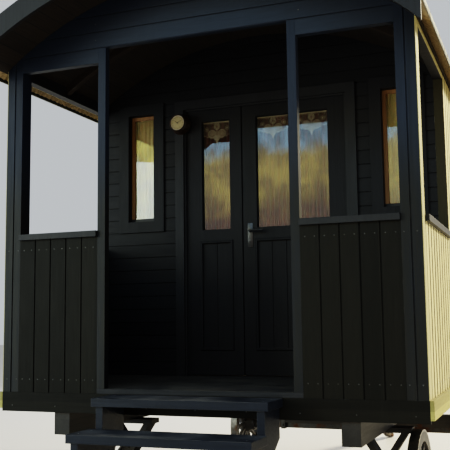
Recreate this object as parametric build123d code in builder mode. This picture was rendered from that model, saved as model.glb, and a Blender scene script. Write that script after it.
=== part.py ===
from build123d import *
import math
import os

os.makedirs("parts", exist_ok=True)

# A timber living wagon with a roofed porch. Millimetres, +Z up, the ground at z = 0.
# The porch and its steps face -Y, the drawbar points to +Y, and +X is on the right of the porch.

# Body
body_width = 2500
porch_depth = 1150
cabin_length = 3150
deck_height = 980
wall_thickness = 60
crown_height = 2365

# Floor and chassis
floor_thickness = 28
deck_board = 121
deck_groove = 5
bearer_width = 75
bearer_depth = 100
bearer_count = 8
sill_width = 100
sill_depth = 140
sill_offset = 850
fascia_depth = 112
fascia_thickness = 22
skirt_depth = 96
skirt_thickness = 20

# Porch
corner_post_width = 110
corner_post_depth = 90
corner_board = 58
inner_post_width = 50
inner_post_depth = 45
porch_opening = 1120
header_depth = 105
entry_rise = 90
waist_height = 905
cap_thickness = 35
cap_width = 80
panel_thickness = 36
side_plate_depth = 30
gable_thickness = 45
gable_pitch = 100
panel_pitch = 103

# Cladding
shiplap_pitch = 92.5
groove_width = 7
groove_depth = 7
side_board_pitch = 105
side_groove_width = 14
side_groove_depth = 10

# Doorway and door
doorway_width = 1182
doorway_offset = 24
doorway_height = 1885
leaf_clearance = 6
meeting_gap = 9
leaf_thickness = 44
left_leaf_width = 422
hinge_stile = 123
lock_stile = 100
glazing_bar = 40
pane_width = 212
wide_pane_width = 236
pane_bottom = 1012
head_rail = 86
panel_bottom = 190
panel_top = 918
panel_recess = 12
panel_board = 104
moulding_width = 16
moulding_height = 8
board_seam = 4
jamb_thickness = 30
stop_depth = 12
stop_gap = 5
architrave_width = 66
architrave_thickness = 18
glass_thickness = 4
hinge_offset = 6
hinge_length = 90
hinge_end_distance = 220
hinge_plate_width = 32
hinge_plate_thickness = 3
hinge_barrel_radius = 5.5
handle_height = 990
handle_plate_width = 40
handle_plate_length = 170
handle_plate_depth = 4
handle_plate_drop = 30
lever_radius = 9
lever_reach = 48
lever_length = 105

# Windows
slim_window_width = 204
slim_window_bottom = 1095
slim_window_head_drop = 55
slim_window_places = (-906, 953)
slim_casing_width = 79
slim_sash_width = 24
slim_sash_depth = 20
slim_sash_recess = 39
side_window_width = 640
side_window_bottom = 950
side_window_head_drop = 235
side_window_spacing = 1500
back_window_width = 700
casing_width = 72
casing_thickness = 16
sash_width = 26
sash_depth = 30
sash_recess = 24

# Curtains
curtain_thickness = 8
curtain_margin = 6

# Roof
roof_board_thickness = 20
roof_sheet_thickness = 6
roof_rise = 500
eave_overhang = 85
board_overhang = 15
porch_overhang = 380
back_overhang = 100
barge_depth = 120
barge_thickness = 24
roll_count = 9
roll_width = 26
roll_height = 12
seat_clearance = 0.3
bow_width = 45
bow_depth = 40
cabin_bow_count = 4

# Steps
tread_count = 6
tread_going = 250
tread_depth = 240
tread_thickness = 44
tread_width = 1000
deck_drop = 30
tread_overhang = 22
nosing = 14
string_thickness = 42
string_throat = 150

# Wheels and axles
wheel_radius = 350
tyre_thickness = 12
wheel_width = 60
felloe_depth = 58
spoke_count = 12
spoke_root_width = 42
spoke_tip_width = 30
spoke_depth = 34
spoke_tip_depth = 27
spoke_rounding = 9
spoke_root_sink = 12
spoke_tip_sink = 2
nave_radius = 82
nave_length = 200
nave_end_radius = 56
nave_end_gap = 3
nave_end_length = 25
collar_radius = 38
cap_radius = 34
cap_length = 22
track = 2100
axle_square = 50
spindle_radius = 22
spindle_clearance = 0.5
porch_axle_inset = 900
fore_axle_inset = 620
bed_width = 110
bed_depth = 110
bed_length = 1860
strut_width = 42
strut_splay = 128
pad_length = 340
pad_thickness = 30
clip_offset = 650
clip_width = 40
clip_thickness = 6

# Turntable and fore-carriage
plate_radius = 330
plate_width = 62
plate_thickness = 14
plate_gap = 0.5
king_pin_radius = 20
pin_foot_gap = 6
upper_bolster_depth = 100
bolster_width = 110
futchell_width = 60
futchell_gap = 110
futchell_back = 300
hinge_reach = 520
hinge_pin_radius = 15
pin_projection = 12
pin_head_radius = 24
pin_head_length = 8
cross_bolster_length = 900

# Drawbar
drawbar_length = 1500
drawbar_width = 90
drawbar_depth = 90
drawbar_tip = 64
eye_neck = 40
eye_shank_width = 51
end_plate = 14
eye_outer_radius = 52
eye_bore_radius = 25
eye_thickness = 30

# Dial by the door
dial_radius = 53
bezel_radius = 61
clock_radius = 74
clock_depth = 72
dial_inset = 10
dial_thickness = 3
clock_edge_rounding = 3
clock_x = -584
clock_drop = 106

# Places worked out from the sizes above
half_width = body_width / 2
body_length = porch_depth + cabin_length
deck_top = deck_height
floor_under = deck_top - floor_thickness
sill_top = floor_under - bearer_depth
sill_bottom = sill_top - sill_depth
axle_height = wheel_radius
axle_top = axle_height + axle_square / 2
bed_top = axle_top + bed_depth
upper_bolster_bottom = sill_bottom - upper_bolster_depth
upper_plate_bottom = upper_bolster_bottom - plate_thickness
lower_plate_top = upper_plate_bottom - plate_gap
lower_plate_bottom = lower_plate_top - plate_thickness
futchell_depth = lower_plate_bottom - bed_top
hinge_height = bed_top + futchell_depth / 2

# The drawbar slopes down until its eye lies on the ground.
slope_reach = math.hypot(drawbar_length + eye_outer_radius, eye_thickness / 2)
drawbar_slope = math.asin(hinge_height / slope_reach) - math.atan2(
    eye_thickness / 2, drawbar_length + eye_outer_radius
)
drawbar_reach = hinge_reach - fore_axle_inset + math.cos(drawbar_slope) * drawbar_length
drawbar_reach += math.cos(drawbar_slope) * eye_outer_radius
drawbar_reach += math.sin(drawbar_slope) * eye_thickness / 2
riser = (deck_height - deck_drop) / tread_count
steps_reach = tread_count * tread_going

front_y = (steps_reach - body_length - drawbar_reach) / 2
cabin_y = front_y + porch_depth
back_y = front_y + body_length
cabin_inner_y = cabin_y + wall_thickness
back_inner_y = back_y - wall_thickness
porch_axle_y = front_y + porch_axle_inset
fore_axle_y = back_y - fore_axle_inset
hinge_y = fore_axle_y + hinge_reach

# The roof is an arc over the body: its boards lie inside the sheet that covers them.
crown_z = deck_top + crown_height
eave_half = half_width + eave_overhang
board_half = half_width + board_overhang
roof_radius = (eave_half**2 + roof_rise**2) / (2 * roof_rise)
roof_axis_z = crown_z - roof_radius
sheet_radius = roof_radius + roof_board_thickness + seat_clearance
roof_start = front_y - porch_overhang
roof_end = back_y + back_overhang
roof_length = roof_end - roof_start


def arc_height(x, radius=roof_radius):
    return roof_axis_z + math.sqrt(radius**2 - x**2)


# Openings keep their distance from the roof above them.
bay_inner = porch_opening / 2 + inner_post_width
bay_outer = half_width - corner_post_width
eave_z = arc_height(half_width)
gable_bottom_z = arc_height(bay_outer) - header_depth
entry_top_z = gable_bottom_z + entry_rise
plate_bottom_z = eave_z - side_plate_depth
slim_top_z = eave_z - slim_window_head_drop
side_window_top_z = eave_z - side_window_head_drop


def facing_porch(y):
    """Plane seen from the porch end: local x is X and local y is Z, at depth y."""
    return Plane.XZ.offset(-y)


def facing_side(x):
    """Plane seen from the right: local x is Y and local y is Z, at width x."""
    return Plane.YZ.offset(x)


def under_roof(y):
    """Trims the part in hand to the arc under the roof boards."""
    with Locations((0, y, roof_axis_z)):
        Cylinder(roof_radius - seat_clearance, 2 * body_length, rotation=(90, 0, 0), mode=Mode.INTERSECT)


def prism(plane, centres, width, height, amount, mode=Mode.ADD):
    """Adds or cuts a rectangular prism at each centre on the plane."""
    with BuildSketch(plane) as outline:
        with Locations(centres):
            Rectangle(width, height)
    extrude(outline.sketch, amount=amount, mode=mode)


def ring_frame(plane, centres, outer, inner, amount):
    """Adds a rectangular frame at each centre on the plane."""
    with BuildSketch(plane) as outline:
        with Locations(centres):
            Rectangle(*outer)
            Rectangle(*inner, mode=Mode.SUBTRACT)
    extrude(outline.sketch, amount=amount)


def save(part, label):
    part.label = label
    export_step(part, f"parts/{label}.step")


# Chassis: two long sills carry cross bearers, and the floor lies on those.
sill_length = body_length - 2 * fascia_thickness
sill_middle = sill_bottom + sill_depth / 2
with BuildPart() as sills:
    sill_places = [(-sill_offset, sill_middle), (sill_offset, sill_middle)]
    prism(facing_porch(front_y + fascia_thickness), sill_places, sill_width, sill_depth, -sill_length)
save(sills.part, "sills")

bearer_first = front_y + fascia_thickness + bearer_width / 2
bearer_last = back_y - fascia_thickness - bearer_width / 2
bearer_step = (bearer_last - bearer_first) / (bearer_count - 1)
with BuildPart() as bearers:
    bearer_places = [(0, bearer_first + i * bearer_step) for i in range(bearer_count)]
    prism(Plane.XY.offset(sill_top), bearer_places, body_width, bearer_width, bearer_depth)
save(bearers.part, "bearers")

corner_x = half_width - corner_post_width / 2
corner_places = [(side * corner_x, front_y + corner_post_depth / 2) for side in (-1, 1)]
tongue_width = porch_opening + 2 * inner_post_width
with BuildPart() as floor:
    with BuildSketch(Plane.XY.offset(floor_under)):
        with Locations((0, (front_y + panel_thickness + cabin_y) / 2)):
            Rectangle(body_width - 2 * panel_thickness, porch_depth - panel_thickness)
        with Locations((0, front_y + panel_thickness / 2)):
            Rectangle(tongue_width, panel_thickness)
        with Locations((0, (cabin_y + back_inner_y) / 2)):
            Rectangle(body_width - 2 * wall_thickness, back_inner_y - cabin_y)
        with Locations(corner_places):
            Rectangle(corner_post_width, corner_post_depth, mode=Mode.SUBTRACT)
    extrude(amount=floor_thickness)
    groove_places = [(0, front_y + deck_board * (i + 1)) for i in range(int(porch_depth / deck_board))]
    prism(Plane.XY.offset(deck_top), groove_places, body_width, deck_groove, -deck_groove, Mode.SUBTRACT)
save(floor.part, "floor")

fascia_middle = floor_under - fascia_depth / 2
with BuildPart() as end_fascias:
    for start in (front_y, back_y - fascia_thickness):
        prism(facing_porch(start), (0, fascia_middle), body_width, fascia_depth, -fascia_thickness)
save(end_fascias.part, "end_fascias")

body_middle = (front_y + back_y) / 2
with BuildPart() as side_skirts:
    for side in (-1, 1):
        plane = facing_side(side * half_width)
        place = (body_middle, floor_under - skirt_depth / 2)
        prism(plane, place, body_length, skirt_depth, side * skirt_thickness)
save(side_skirts.part, "side_skirts")

# Porch: posts, boarded panels up to the waist, cap rails, top plates and the gable.
with BuildPart() as corner_posts:
    prism(Plane.XY.offset(floor_under), corner_places, corner_post_width, corner_post_depth, crown_height)
    seams = [(side * (half_width - corner_board), crown_z / 2) for side in (-1, 1)]
    prism(facing_porch(front_y), seams, groove_width, 2 * crown_z, -groove_depth, Mode.SUBTRACT)
    under_roof(front_y)
save(corner_posts.part, "corner_posts")

inner_x = (porch_opening + inner_post_width) / 2
inner_places = [(side * inner_x, front_y + inner_post_depth / 2) for side in (-1, 1)]
with BuildPart() as inner_posts:
    post_height = entry_top_z - deck_top
    prism(Plane.XY.offset(deck_top), inner_places, inner_post_width, inner_post_depth, post_height)
save(inner_posts.part, "inner_posts")

bay_width = bay_outer - bay_inner
bay_x = (bay_inner + bay_outer) / 2
panel_top_z = deck_top + waist_height - cap_thickness
panel_height = panel_top_z - floor_under
panel_middle_z = (panel_top_z + floor_under) / 2
board_count = round(bay_width / panel_pitch)
with BuildPart() as front_panels:
    plane = facing_porch(front_y)
    board_width = bay_width / board_count
    for side in (-1, 1):
        prism(plane, (side * bay_x, panel_middle_z), bay_width, panel_height, -panel_thickness)
        seams = [(side * (bay_inner + board_width * i), panel_middle_z) for i in range(1, board_count)]
        prism(plane, seams, groove_width, panel_height, -groove_depth, Mode.SUBTRACT)
save(front_panels.part, "front_panels")

side_start = front_y + corner_post_depth
side_panel_length = cabin_y - side_start
side_panel_middle = (side_start + cabin_y) / 2
side_board_count = round(side_panel_length / side_board_pitch)
with BuildPart() as side_panels:
    for side in (-1, 1):
        plane = facing_side(side * half_width)
        place = (side_panel_middle, panel_middle_z)
        prism(plane, place, side_panel_length, panel_height, -side * panel_thickness)
        seams = [
            (side_start + side_panel_length * i / side_board_count, panel_middle_z)
            for i in range(1, side_board_count)
        ]
        prism(plane, seams, side_groove_width, panel_height, -side * side_groove_depth, Mode.SUBTRACT)
save(side_panels.part, "side_panels")

cap_overhang = (cap_width - panel_thickness) / 2
with BuildPart() as cap_rails:
    for side in (-1, 1):
        front_place = (side * bay_x, front_y + panel_thickness / 2)
        prism(Plane.XY.offset(panel_top_z), front_place, bay_width, cap_width, cap_thickness)
        side_place = (side * (half_width - panel_thickness / 2), side_panel_middle)
        prism(Plane.XY.offset(panel_top_z), side_place, cap_width, side_panel_length, cap_thickness)
save(cap_rails.part, "cap_rails")

with BuildPart() as porch_plates:
    plate_x = half_width - wall_thickness / 2
    for side in (-1, 1):
        place = (side * plate_x, side_panel_middle)
        prism(Plane.XY.offset(plate_bottom_z), place, wall_thickness, side_panel_length, crown_height)
    under_roof(front_y)
save(porch_plates.part, "porch_plates")

gable_width = 2 * bay_outer
with BuildPart() as front_gable:
    gable_place = (0, gable_bottom_z + crown_height / 2)
    prism(facing_porch(front_y), gable_place, gable_width, crown_height, -gable_thickness)
    notch_place = (0, (gable_bottom_z + entry_top_z) / 2)
    notch_height = entry_top_z - gable_bottom_z
    prism(facing_porch(front_y), notch_place, tongue_width, notch_height, -gable_thickness, Mode.SUBTRACT)
    lap_count = math.ceil((crown_z - entry_top_z) / gable_pitch)
    laps = [(0, entry_top_z + gable_pitch * i) for i in range(lap_count)]
    prism(facing_porch(front_y), laps, gable_width, groove_width, -groove_depth, Mode.SUBTRACT)
    under_roof(front_y)
save(front_gable.part, "front_gable")

# Cabin walls, cut to the arc of the roof and pierced for the door and the windows.
inner_half = half_width - wall_thickness
doorway_place = (doorway_offset, deck_top + (doorway_height + jamb_thickness) / 2)
doorway_hole = (doorway_width + 2 * jamb_thickness, doorway_height + jamb_thickness)
slim_bottom_z = deck_top + slim_window_bottom
slim_height = slim_top_z - slim_bottom_z
slim_middle_z = (slim_top_z + slim_bottom_z) / 2
slim_places = [(x, slim_middle_z) for x in slim_window_places]
wall_height = crown_z - deck_top
laps = [(0, deck_top + shiplap_pitch * i) for i in range(1, math.ceil(wall_height / shiplap_pitch))]
with BuildPart() as cabin_front:
    plane = facing_porch(cabin_y)
    prism(plane, (0, deck_top + wall_height / 2), 2 * inner_half, wall_height, -wall_thickness)
    prism(plane, laps, body_width, groove_width, -groove_depth, Mode.SUBTRACT)
    prism(plane, doorway_place, *doorway_hole, -wall_thickness, Mode.SUBTRACT)
    prism(plane, slim_places, slim_window_width, slim_height, -wall_thickness, Mode.SUBTRACT)
    under_roof(cabin_y)
save(cabin_front.part, "cabin_front")

cabin_middle_y = (cabin_y + back_y) / 2
side_window_bottom_z = deck_top + side_window_bottom
side_window_height = side_window_top_z - side_window_bottom_z
side_window_z = (side_window_top_z + side_window_bottom_z) / 2
window_step = side_window_spacing / 2
side_window_places = [(cabin_middle_y + step, side_window_z) for step in (-window_step, window_step)]
wall_bottom_height = crown_z - floor_under
cabin_board_count = round(cabin_length / side_board_pitch)
for side, label in ((-1, "left_wall"), (1, "right_wall")):
    with BuildPart() as side_wall:
        plane = facing_side(side * half_width)
        wall_place = (cabin_middle_y, floor_under + wall_bottom_height / 2)
        prism(plane, wall_place, cabin_length, wall_bottom_height, -side * wall_thickness)
        seams = [
            (cabin_y + cabin_length * i / cabin_board_count, floor_under + wall_bottom_height / 2)
            for i in range(1, cabin_board_count)
        ]
        prism(
            plane, seams, side_groove_width, wall_bottom_height,
            -side * side_groove_depth, Mode.SUBTRACT,
        )
        prism(
            plane, side_window_places, side_window_width, side_window_height,
            -side * wall_thickness, Mode.SUBTRACT,
        )
        under_roof(cabin_middle_y)
    save(side_wall.part, label)

with BuildPart() as back_wall:
    plane = facing_porch(back_y)
    place = (0, floor_under + wall_bottom_height / 2)
    prism(plane, place, 2 * inner_half, wall_bottom_height, wall_thickness)
    prism(plane, laps, body_width, groove_width, groove_depth, Mode.SUBTRACT)
    back_place = (0, side_window_z)
    prism(plane, back_place, back_window_width, side_window_height, wall_thickness, Mode.SUBTRACT)
    under_roof(back_y)
save(back_wall.part, "back_wall")

# Door frame: jambs and head line the hole, with a stop in front of the leaves.
leaf_front_y = cabin_inner_y - leaf_thickness
stop_thickness = leaf_front_y - stop_gap - cabin_y
doorway_half = doorway_width / 2
architrave_front_y = cabin_y - architrave_thickness
with BuildPart() as door_frame:
    lining_depths = (
        (doorway_hole[0] / 2, doorway_half, 0, cabin_y, wall_thickness),
        (doorway_half, doorway_half - stop_depth, stop_depth, cabin_y, stop_thickness),
        (doorway_half + architrave_width, doorway_half, 0, architrave_front_y, architrave_thickness),
    )
    for outer_half, clear_half, head_drop, start, depth in lining_depths:
        with BuildSketch(facing_porch(start)):
            band = outer_half - clear_half
            head_top = deck_top + doorway_height - head_drop + band
            with Locations((doorway_offset, (deck_top + head_top) / 2)):
                Rectangle(2 * outer_half, head_top - deck_top)
            with Locations((doorway_offset, (deck_top + head_top - band) / 2)):
                Rectangle(2 * clear_half, head_top - band - deck_top, mode=Mode.SUBTRACT)
        extrude(amount=-depth)
save(door_frame.part, "door_frame")

# Door leaves: glazed above, boarded panels in a raised moulding below.
leaf_foot_z = deck_top + leaf_clearance
leaf_head_z = deck_top + doorway_height - leaf_clearance
leaf_left_x = doorway_offset - doorway_half + leaf_clearance
leaf_split_x = leaf_left_x + left_leaf_width
leaf_right_x = doorway_offset + doorway_half - leaf_clearance
pane_bottom_z = deck_top + pane_bottom
pane_height = leaf_head_z - head_rail - pane_bottom_z
pane_z = pane_bottom_z + pane_height / 2
glass_y = leaf_front_y + (leaf_thickness - glass_thickness) / 2
left_pane_x = leaf_left_x + hinge_stile + pane_width / 2
right_low_x = leaf_split_x + meeting_gap
right_first_x = right_low_x + lock_stile + wide_pane_width / 2
right_second_x = right_first_x + wide_pane_width + glazing_bar
panel_z = deck_top + (panel_top + panel_bottom) / 2
panel_size = panel_top - panel_bottom
leaves = (
    ("left_door", leaf_left_x, leaf_split_x, [left_pane_x], pane_width),
    ("right_door", right_low_x, leaf_right_x, [right_first_x, right_second_x], wide_pane_width),
)
for label, low_x, high_x, pane_centres, light_width in leaves:
    with BuildPart() as leaf:
        front = facing_porch(leaf_front_y)
        leaf_place = ((low_x + high_x) / 2, (leaf_foot_z + leaf_head_z) / 2)
        prism(front, leaf_place, high_x - low_x, leaf_head_z - leaf_foot_z, -leaf_thickness)
        pane_places = [(x, pane_z) for x in pane_centres]
        prism(front, pane_places, light_width, pane_height, -leaf_thickness, Mode.SUBTRACT)
        panel_low = pane_centres[0] - light_width / 2
        panel_high = pane_centres[-1] + light_width / 2
        panel_place = ((panel_low + panel_high) / 2, panel_z)
        panel_span = panel_high - panel_low
        prism(front, panel_place, panel_span, panel_size, -panel_recess, Mode.SUBTRACT)
        boards = round(panel_span / panel_board)
        seams = [(panel_low + panel_span * i / boards, panel_z) for i in range(1, boards)]
        seam_plane = facing_porch(leaf_front_y + panel_recess)
        prism(seam_plane, seams, board_seam, panel_size, -board_seam, Mode.SUBTRACT)
        outer = (panel_span + 2 * moulding_width, panel_size + 2 * moulding_width)
        ring_frame(front, panel_place, outer, (panel_span, panel_size), moulding_height)
        prism(
            facing_porch(cabin_inner_y), panel_place, panel_span, panel_size, panel_recess, Mode.SUBTRACT
        )
    save(leaf.part, label)
    with BuildPart() as leaf_glass:
        prism(facing_porch(glass_y), pane_places, light_width, pane_height, -glass_thickness)
    save(leaf_glass.part, f"{label}_glass")

# Door furniture: a lever on both faces of the right leaf, and butt hinges on the jambs.
handle_x = leaf_split_x + meeting_gap + lock_stile / 2
handle_z = deck_top + handle_height
with BuildPart() as door_handle:
    for face_y, outward in ((leaf_front_y, 1), (cabin_inner_y, -1)):
        plate_place = (handle_x, handle_z - handle_plate_drop)
        plate_size = (handle_plate_width, handle_plate_length)
        prism(facing_porch(face_y), plate_place, *plate_size, outward * handle_plate_depth)
        with BuildSketch(facing_porch(face_y)) as neck:
            with Locations((handle_x, handle_z)):
                Circle(lever_radius)
        extrude(neck.sketch, amount=outward * lever_reach)
        lever_y = face_y - outward * (lever_reach - lever_radius)
        with BuildSketch(facing_side(handle_x)) as grip:
            with Locations((lever_y, handle_z)):
                Circle(lever_radius)
        extrude(grip.sketch, amount=lever_length)
save(door_handle.part, "door_handle")

pivot_y = cabin_inner_y + hinge_offset
hinge_steps = (hinge_end_distance, doorway_height / 2, doorway_height - hinge_end_distance)
hinge_heights = [deck_top + height for height in hinge_steps]
with BuildPart() as door_hinges:
    for side in (-1, 1):
        pivot_x = doorway_offset + side * (doorway_half - leaf_clearance)
        for height in hinge_heights:
            plate_place = (pivot_x + side * hinge_plate_width / 2, height)
            plate_size = (hinge_plate_width, hinge_length)
            prism(facing_porch(cabin_inner_y), plate_place, *plate_size, -hinge_plate_thickness)
            with BuildSketch(Plane.XY.offset(height - hinge_length / 2)) as barrel:
                with Locations((pivot_x, pivot_y)):
                    Circle(hinge_barrel_radius)
            extrude(barrel.sketch, amount=hinge_length)
save(door_hinges.part, "door_hinges")

# Windows: dark casings on the wall, bare wooden sashes set back in the holes, and their panes.
slim_sash_y = cabin_y + slim_sash_recess
slim_size = (slim_window_width, slim_height)
slim_light = (slim_window_width - 2 * slim_sash_width, slim_height - 2 * slim_sash_width)
with BuildPart() as slim_sashes:
    ring_frame(facing_porch(slim_sash_y), slim_places, slim_size, slim_light, -slim_sash_depth)
save(slim_sashes.part, "slim_sashes")

with BuildPart() as slim_casings:
    outer = (slim_window_width + 2 * slim_casing_width, slim_height + 2 * slim_casing_width)
    ring_frame(facing_porch(cabin_y), slim_places, outer, slim_size, casing_thickness)
save(slim_casings.part, "slim_casings")

side_light_width = (side_window_width - 3 * sash_width) / 2
back_light_width = (back_window_width - 3 * sash_width) / 2
light_height = side_window_height - 2 * sash_width
openings = []
for side in (-1, 1):
    for place in side_window_places:
        openings.append((side * half_width, side, place, side_window_width, side_light_width))
with BuildPart() as window_sashes:
    for x, side, place, width, light_width in openings:
        with BuildSketch(facing_side(x - side * sash_recess)) as sash:
            with Locations(place):
                Rectangle(width, side_window_height)
                with GridLocations(light_width + sash_width, 1, 2, 1):
                    Rectangle(light_width, light_height, mode=Mode.SUBTRACT)
        extrude(sash.sketch, amount=-side * sash_depth)
    with BuildSketch(facing_porch(back_y - sash_recess)) as sash:
        with Locations((0, side_window_z)):
            Rectangle(back_window_width, side_window_height)
            with GridLocations(back_light_width + sash_width, 1, 2, 1):
                Rectangle(back_light_width, light_height, mode=Mode.SUBTRACT)
    extrude(sash.sketch, amount=sash_depth)
save(window_sashes.part, "window_sashes")

side_hole = (side_window_width, side_window_height)
back_hole = (back_window_width, side_window_height)
side_outer = (side_window_width + 2 * casing_width, side_window_height + 2 * casing_width)
back_outer = (back_window_width + 2 * casing_width, side_window_height + 2 * casing_width)
with BuildPart() as window_casings:
    for side in (-1, 1):
        plane = facing_side(side * half_width)
        ring_frame(plane, side_window_places, side_outer, side_hole, side * casing_thickness)
    ring_frame(facing_porch(back_y), (0, side_window_z), back_outer, back_hole, -casing_thickness)
save(window_casings.part, "window_casings")

pane_inset = sash_recess + (sash_depth - glass_thickness) / 2
slim_pane_y = slim_sash_y + (slim_sash_depth - glass_thickness) / 2
light_shift = (side_light_width + sash_width) / 2
back_shift = (back_light_width + sash_width) / 2
with BuildPart() as window_glass:
    prism(facing_porch(slim_pane_y), slim_places, *slim_light, -glass_thickness)
    for side in (-1, 1):
        plane = facing_side(side * (half_width - pane_inset))
        lights = [(y + shift, z) for y, z in side_window_places for shift in (-light_shift, light_shift)]
        prism(plane, lights, side_light_width, light_height, -side * glass_thickness)
    lights = [(shift, side_window_z) for shift in (-back_shift, back_shift)]
    prism(facing_porch(back_y - pane_inset), lights, back_light_width, light_height, glass_thickness)
save(window_glass.part, "window_glass")

# Curtains hang close behind the panes of the porch end.
curtain_front_y = cabin_inner_y + seat_clearance
with BuildPart() as slim_curtains:
    width = slim_window_width + 2 * curtain_margin
    height = slim_height + 2 * curtain_margin
    prism(facing_porch(curtain_front_y), slim_places, width, height, -curtain_thickness)
save(slim_curtains.part, "slim_curtains")
for label, low_x, high_x, pane_centres, light_width in leaves:
    with BuildPart() as door_curtain:
        low = pane_centres[0] - light_width / 2 - curtain_margin
        high = pane_centres[-1] + light_width / 2 + curtain_margin
        height = pane_height + 2 * curtain_margin
        place = ((low + high) / 2, pane_z)
        prism(facing_porch(curtain_front_y), place, high - low, height, -curtain_thickness)
    save(door_curtain.part, f"{label}_curtain")

# Dial: a deep case turned narrower towards its rim, on the architrave, with its face set inside.
clock_place = (clock_x, deck_top + doorway_height - clock_drop)
dial_back_y = architrave_front_y - clock_depth + dial_inset
clock_taper = math.degrees(math.atan((clock_radius - bezel_radius) / clock_depth))
with BuildPart() as clock_case:
    with BuildSketch(facing_porch(architrave_front_y)):
        with Locations(clock_place):
            Circle(clock_radius)
    extrude(amount=clock_depth, taper=clock_taper)
    with BuildSketch(facing_porch(dial_back_y)):
        with Locations(clock_place):
            Circle(dial_radius)
    extrude(amount=dial_inset, mode=Mode.SUBTRACT)
    fillet(clock_case.edges().group_by(Axis.Y)[0], clock_edge_rounding)
save(clock_case.part, "clock_case")
with BuildPart() as clock_dial:
    with BuildSketch(facing_porch(dial_back_y)):
        with Locations(clock_place):
            Circle(dial_radius - seat_clearance)
    extrude(amount=dial_thickness)
save(clock_dial.part, "clock_dial")


# Roof: bowed boards over the walls, a metal sheet over the boards, and curved boards at the ends.
def roof_band(start_y, inner_radius, outer_radius, half, length):
    """Adds a bowed band, cut plumb at its eaves."""
    with BuildSketch(facing_porch(start_y)) as band:
        with Locations((0, roof_axis_z)):
            Circle(outer_radius)
            Circle(inner_radius, mode=Mode.SUBTRACT)
        with Locations((0, crown_z)):
            Rectangle(2 * half, 2 * (crown_z - deck_top), mode=Mode.INTERSECT)
    extrude(band.sketch, amount=-length)


with BuildPart() as roof_boards:
    roof_band(roof_start, roof_radius, roof_radius + roof_board_thickness, board_half, roof_length)
save(roof_boards.part, "roof_boards")
bow_radius = roof_radius - seat_clearance
cabin_bow_step = (back_inner_y - cabin_inner_y) / (cabin_bow_count + 1)
bow_middles = [cabin_inner_y + cabin_bow_step * (i + 1) for i in range(cabin_bow_count)]
bow_middles.append((front_y + gable_thickness + cabin_y) / 2)
with BuildPart() as roof_bows:
    for middle in bow_middles:
        roof_band(middle - bow_width / 2, bow_radius - bow_depth, bow_radius, inner_half, bow_width)
save(roof_bows.part, "roof_bows")
sheet_outer = sheet_radius + roof_sheet_thickness
with BuildPart() as roof_sheet:
    roof_band(roof_start, sheet_radius, sheet_outer, eave_half, roof_length)
    for i in range(roll_count):
        roll_y = roof_start + (roof_length - roll_width) * i / (roll_count - 1)
        roof_band(roll_y, sheet_radius, sheet_outer + roll_height, eave_half, roll_width)
save(roof_sheet.part, "roof_sheet")
barge_outer = sheet_outer + roll_height
with BuildPart() as barge_boards:
    for start in (roof_start - barge_thickness, roof_end):
        roof_band(start, barge_outer - barge_depth, barge_outer, eave_half, barge_thickness)
save(barge_boards.part, "barge_boards")

# Steps: open treads on two cut strings that stand on the ground.
tread_tops = [deck_top - deck_drop - riser * i for i in range(tread_count)]
string_x = tread_width / 2 - tread_overhang - string_thickness / 2
pitch_slope = riser / tread_going
with BuildPart() as step_strings:
    for side in (-1, 1):
        with BuildSketch(facing_side(side * string_x - string_thickness / 2)) as string:
            with BuildLine():
                outline = [(front_y, tread_tops[0] - tread_thickness)]
                for i, top in enumerate(tread_tops):
                    seat_y = front_y - tread_going * (i + 1) + nosing
                    outline.append((seat_y, top - tread_thickness))
                    outline.append((seat_y, max(top - riser - tread_thickness, 0)))
                lower_z = outline[2][1] + pitch_slope * (front_y - outline[2][0]) - string_throat
                outline.append((front_y - lower_z / pitch_slope, 0))
                outline.append((front_y, lower_z))
                Polyline(*outline, close=True)
            make_face()
        extrude(string.sketch, amount=string_thickness)
save(step_strings.part, "step_strings")
with BuildPart() as step_treads:
    for i, top in enumerate(tread_tops):
        place = (0, front_y - tread_going * (i + 1) + tread_depth / 2)
        prism(Plane.XY.offset(top - tread_thickness), place, tread_width, tread_depth, tread_thickness)
save(step_treads.part, "step_treads")

# Axles: a square bar under a timber bed, with a turned spindle, collar and cap at each end.
bar_half = bed_length / 2
nave_inner = track / 2 - nave_length / 2
nave_outer = track / 2 + nave_length / 2
axle_profile = (
    (bar_half, nave_inner - nave_end_gap, collar_radius),
    (nave_inner - nave_end_gap, nave_outer + nave_end_gap, spindle_radius),
    (nave_outer + nave_end_gap, nave_outer + nave_end_gap + cap_length, cap_radius),
)
for label, axle_y in (("porch_axle", porch_axle_y), ("fore_axle", fore_axle_y)):
    with BuildPart() as axle:
        prism(facing_side(-bar_half), (axle_y, axle_height), axle_square, axle_square, 2 * bar_half)
        for side in (-1, 1):
            for low, high, radius in axle_profile:
                with BuildSketch(facing_side(side * low)) as turned:
                    with Locations((axle_y, axle_height)):
                        Circle(radius)
                extrude(turned.sketch, amount=side * (high - low))
    save(axle.part, label)

pad_bottom = sill_bottom - pad_thickness
half_strut = strut_width / 2
with BuildPart() as porch_bolster:
    with BuildSketch(facing_porch(porch_axle_y - bed_width / 2)):
        with Locations((0, axle_top + bed_depth / 2)):
            Rectangle(bed_length, bed_depth)
        pad_middle = sill_bottom - pad_thickness / 2
        with Locations((-sill_offset, pad_middle), (sill_offset, pad_middle)):
            Rectangle(pad_length, pad_thickness)
        for side in (-1, 1):
            foot = side * sill_offset
            for head in (foot - strut_splay, foot + strut_splay):
                with BuildLine():
                    Polyline(
                        (foot - half_strut, bed_top), (foot + half_strut, bed_top),
                        (head + half_strut, pad_bottom), (head - half_strut, pad_bottom), close=True,
                    )
                make_face()
    extrude(amount=-bed_width)
save(porch_bolster.part, "porch_bolster")

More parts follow.
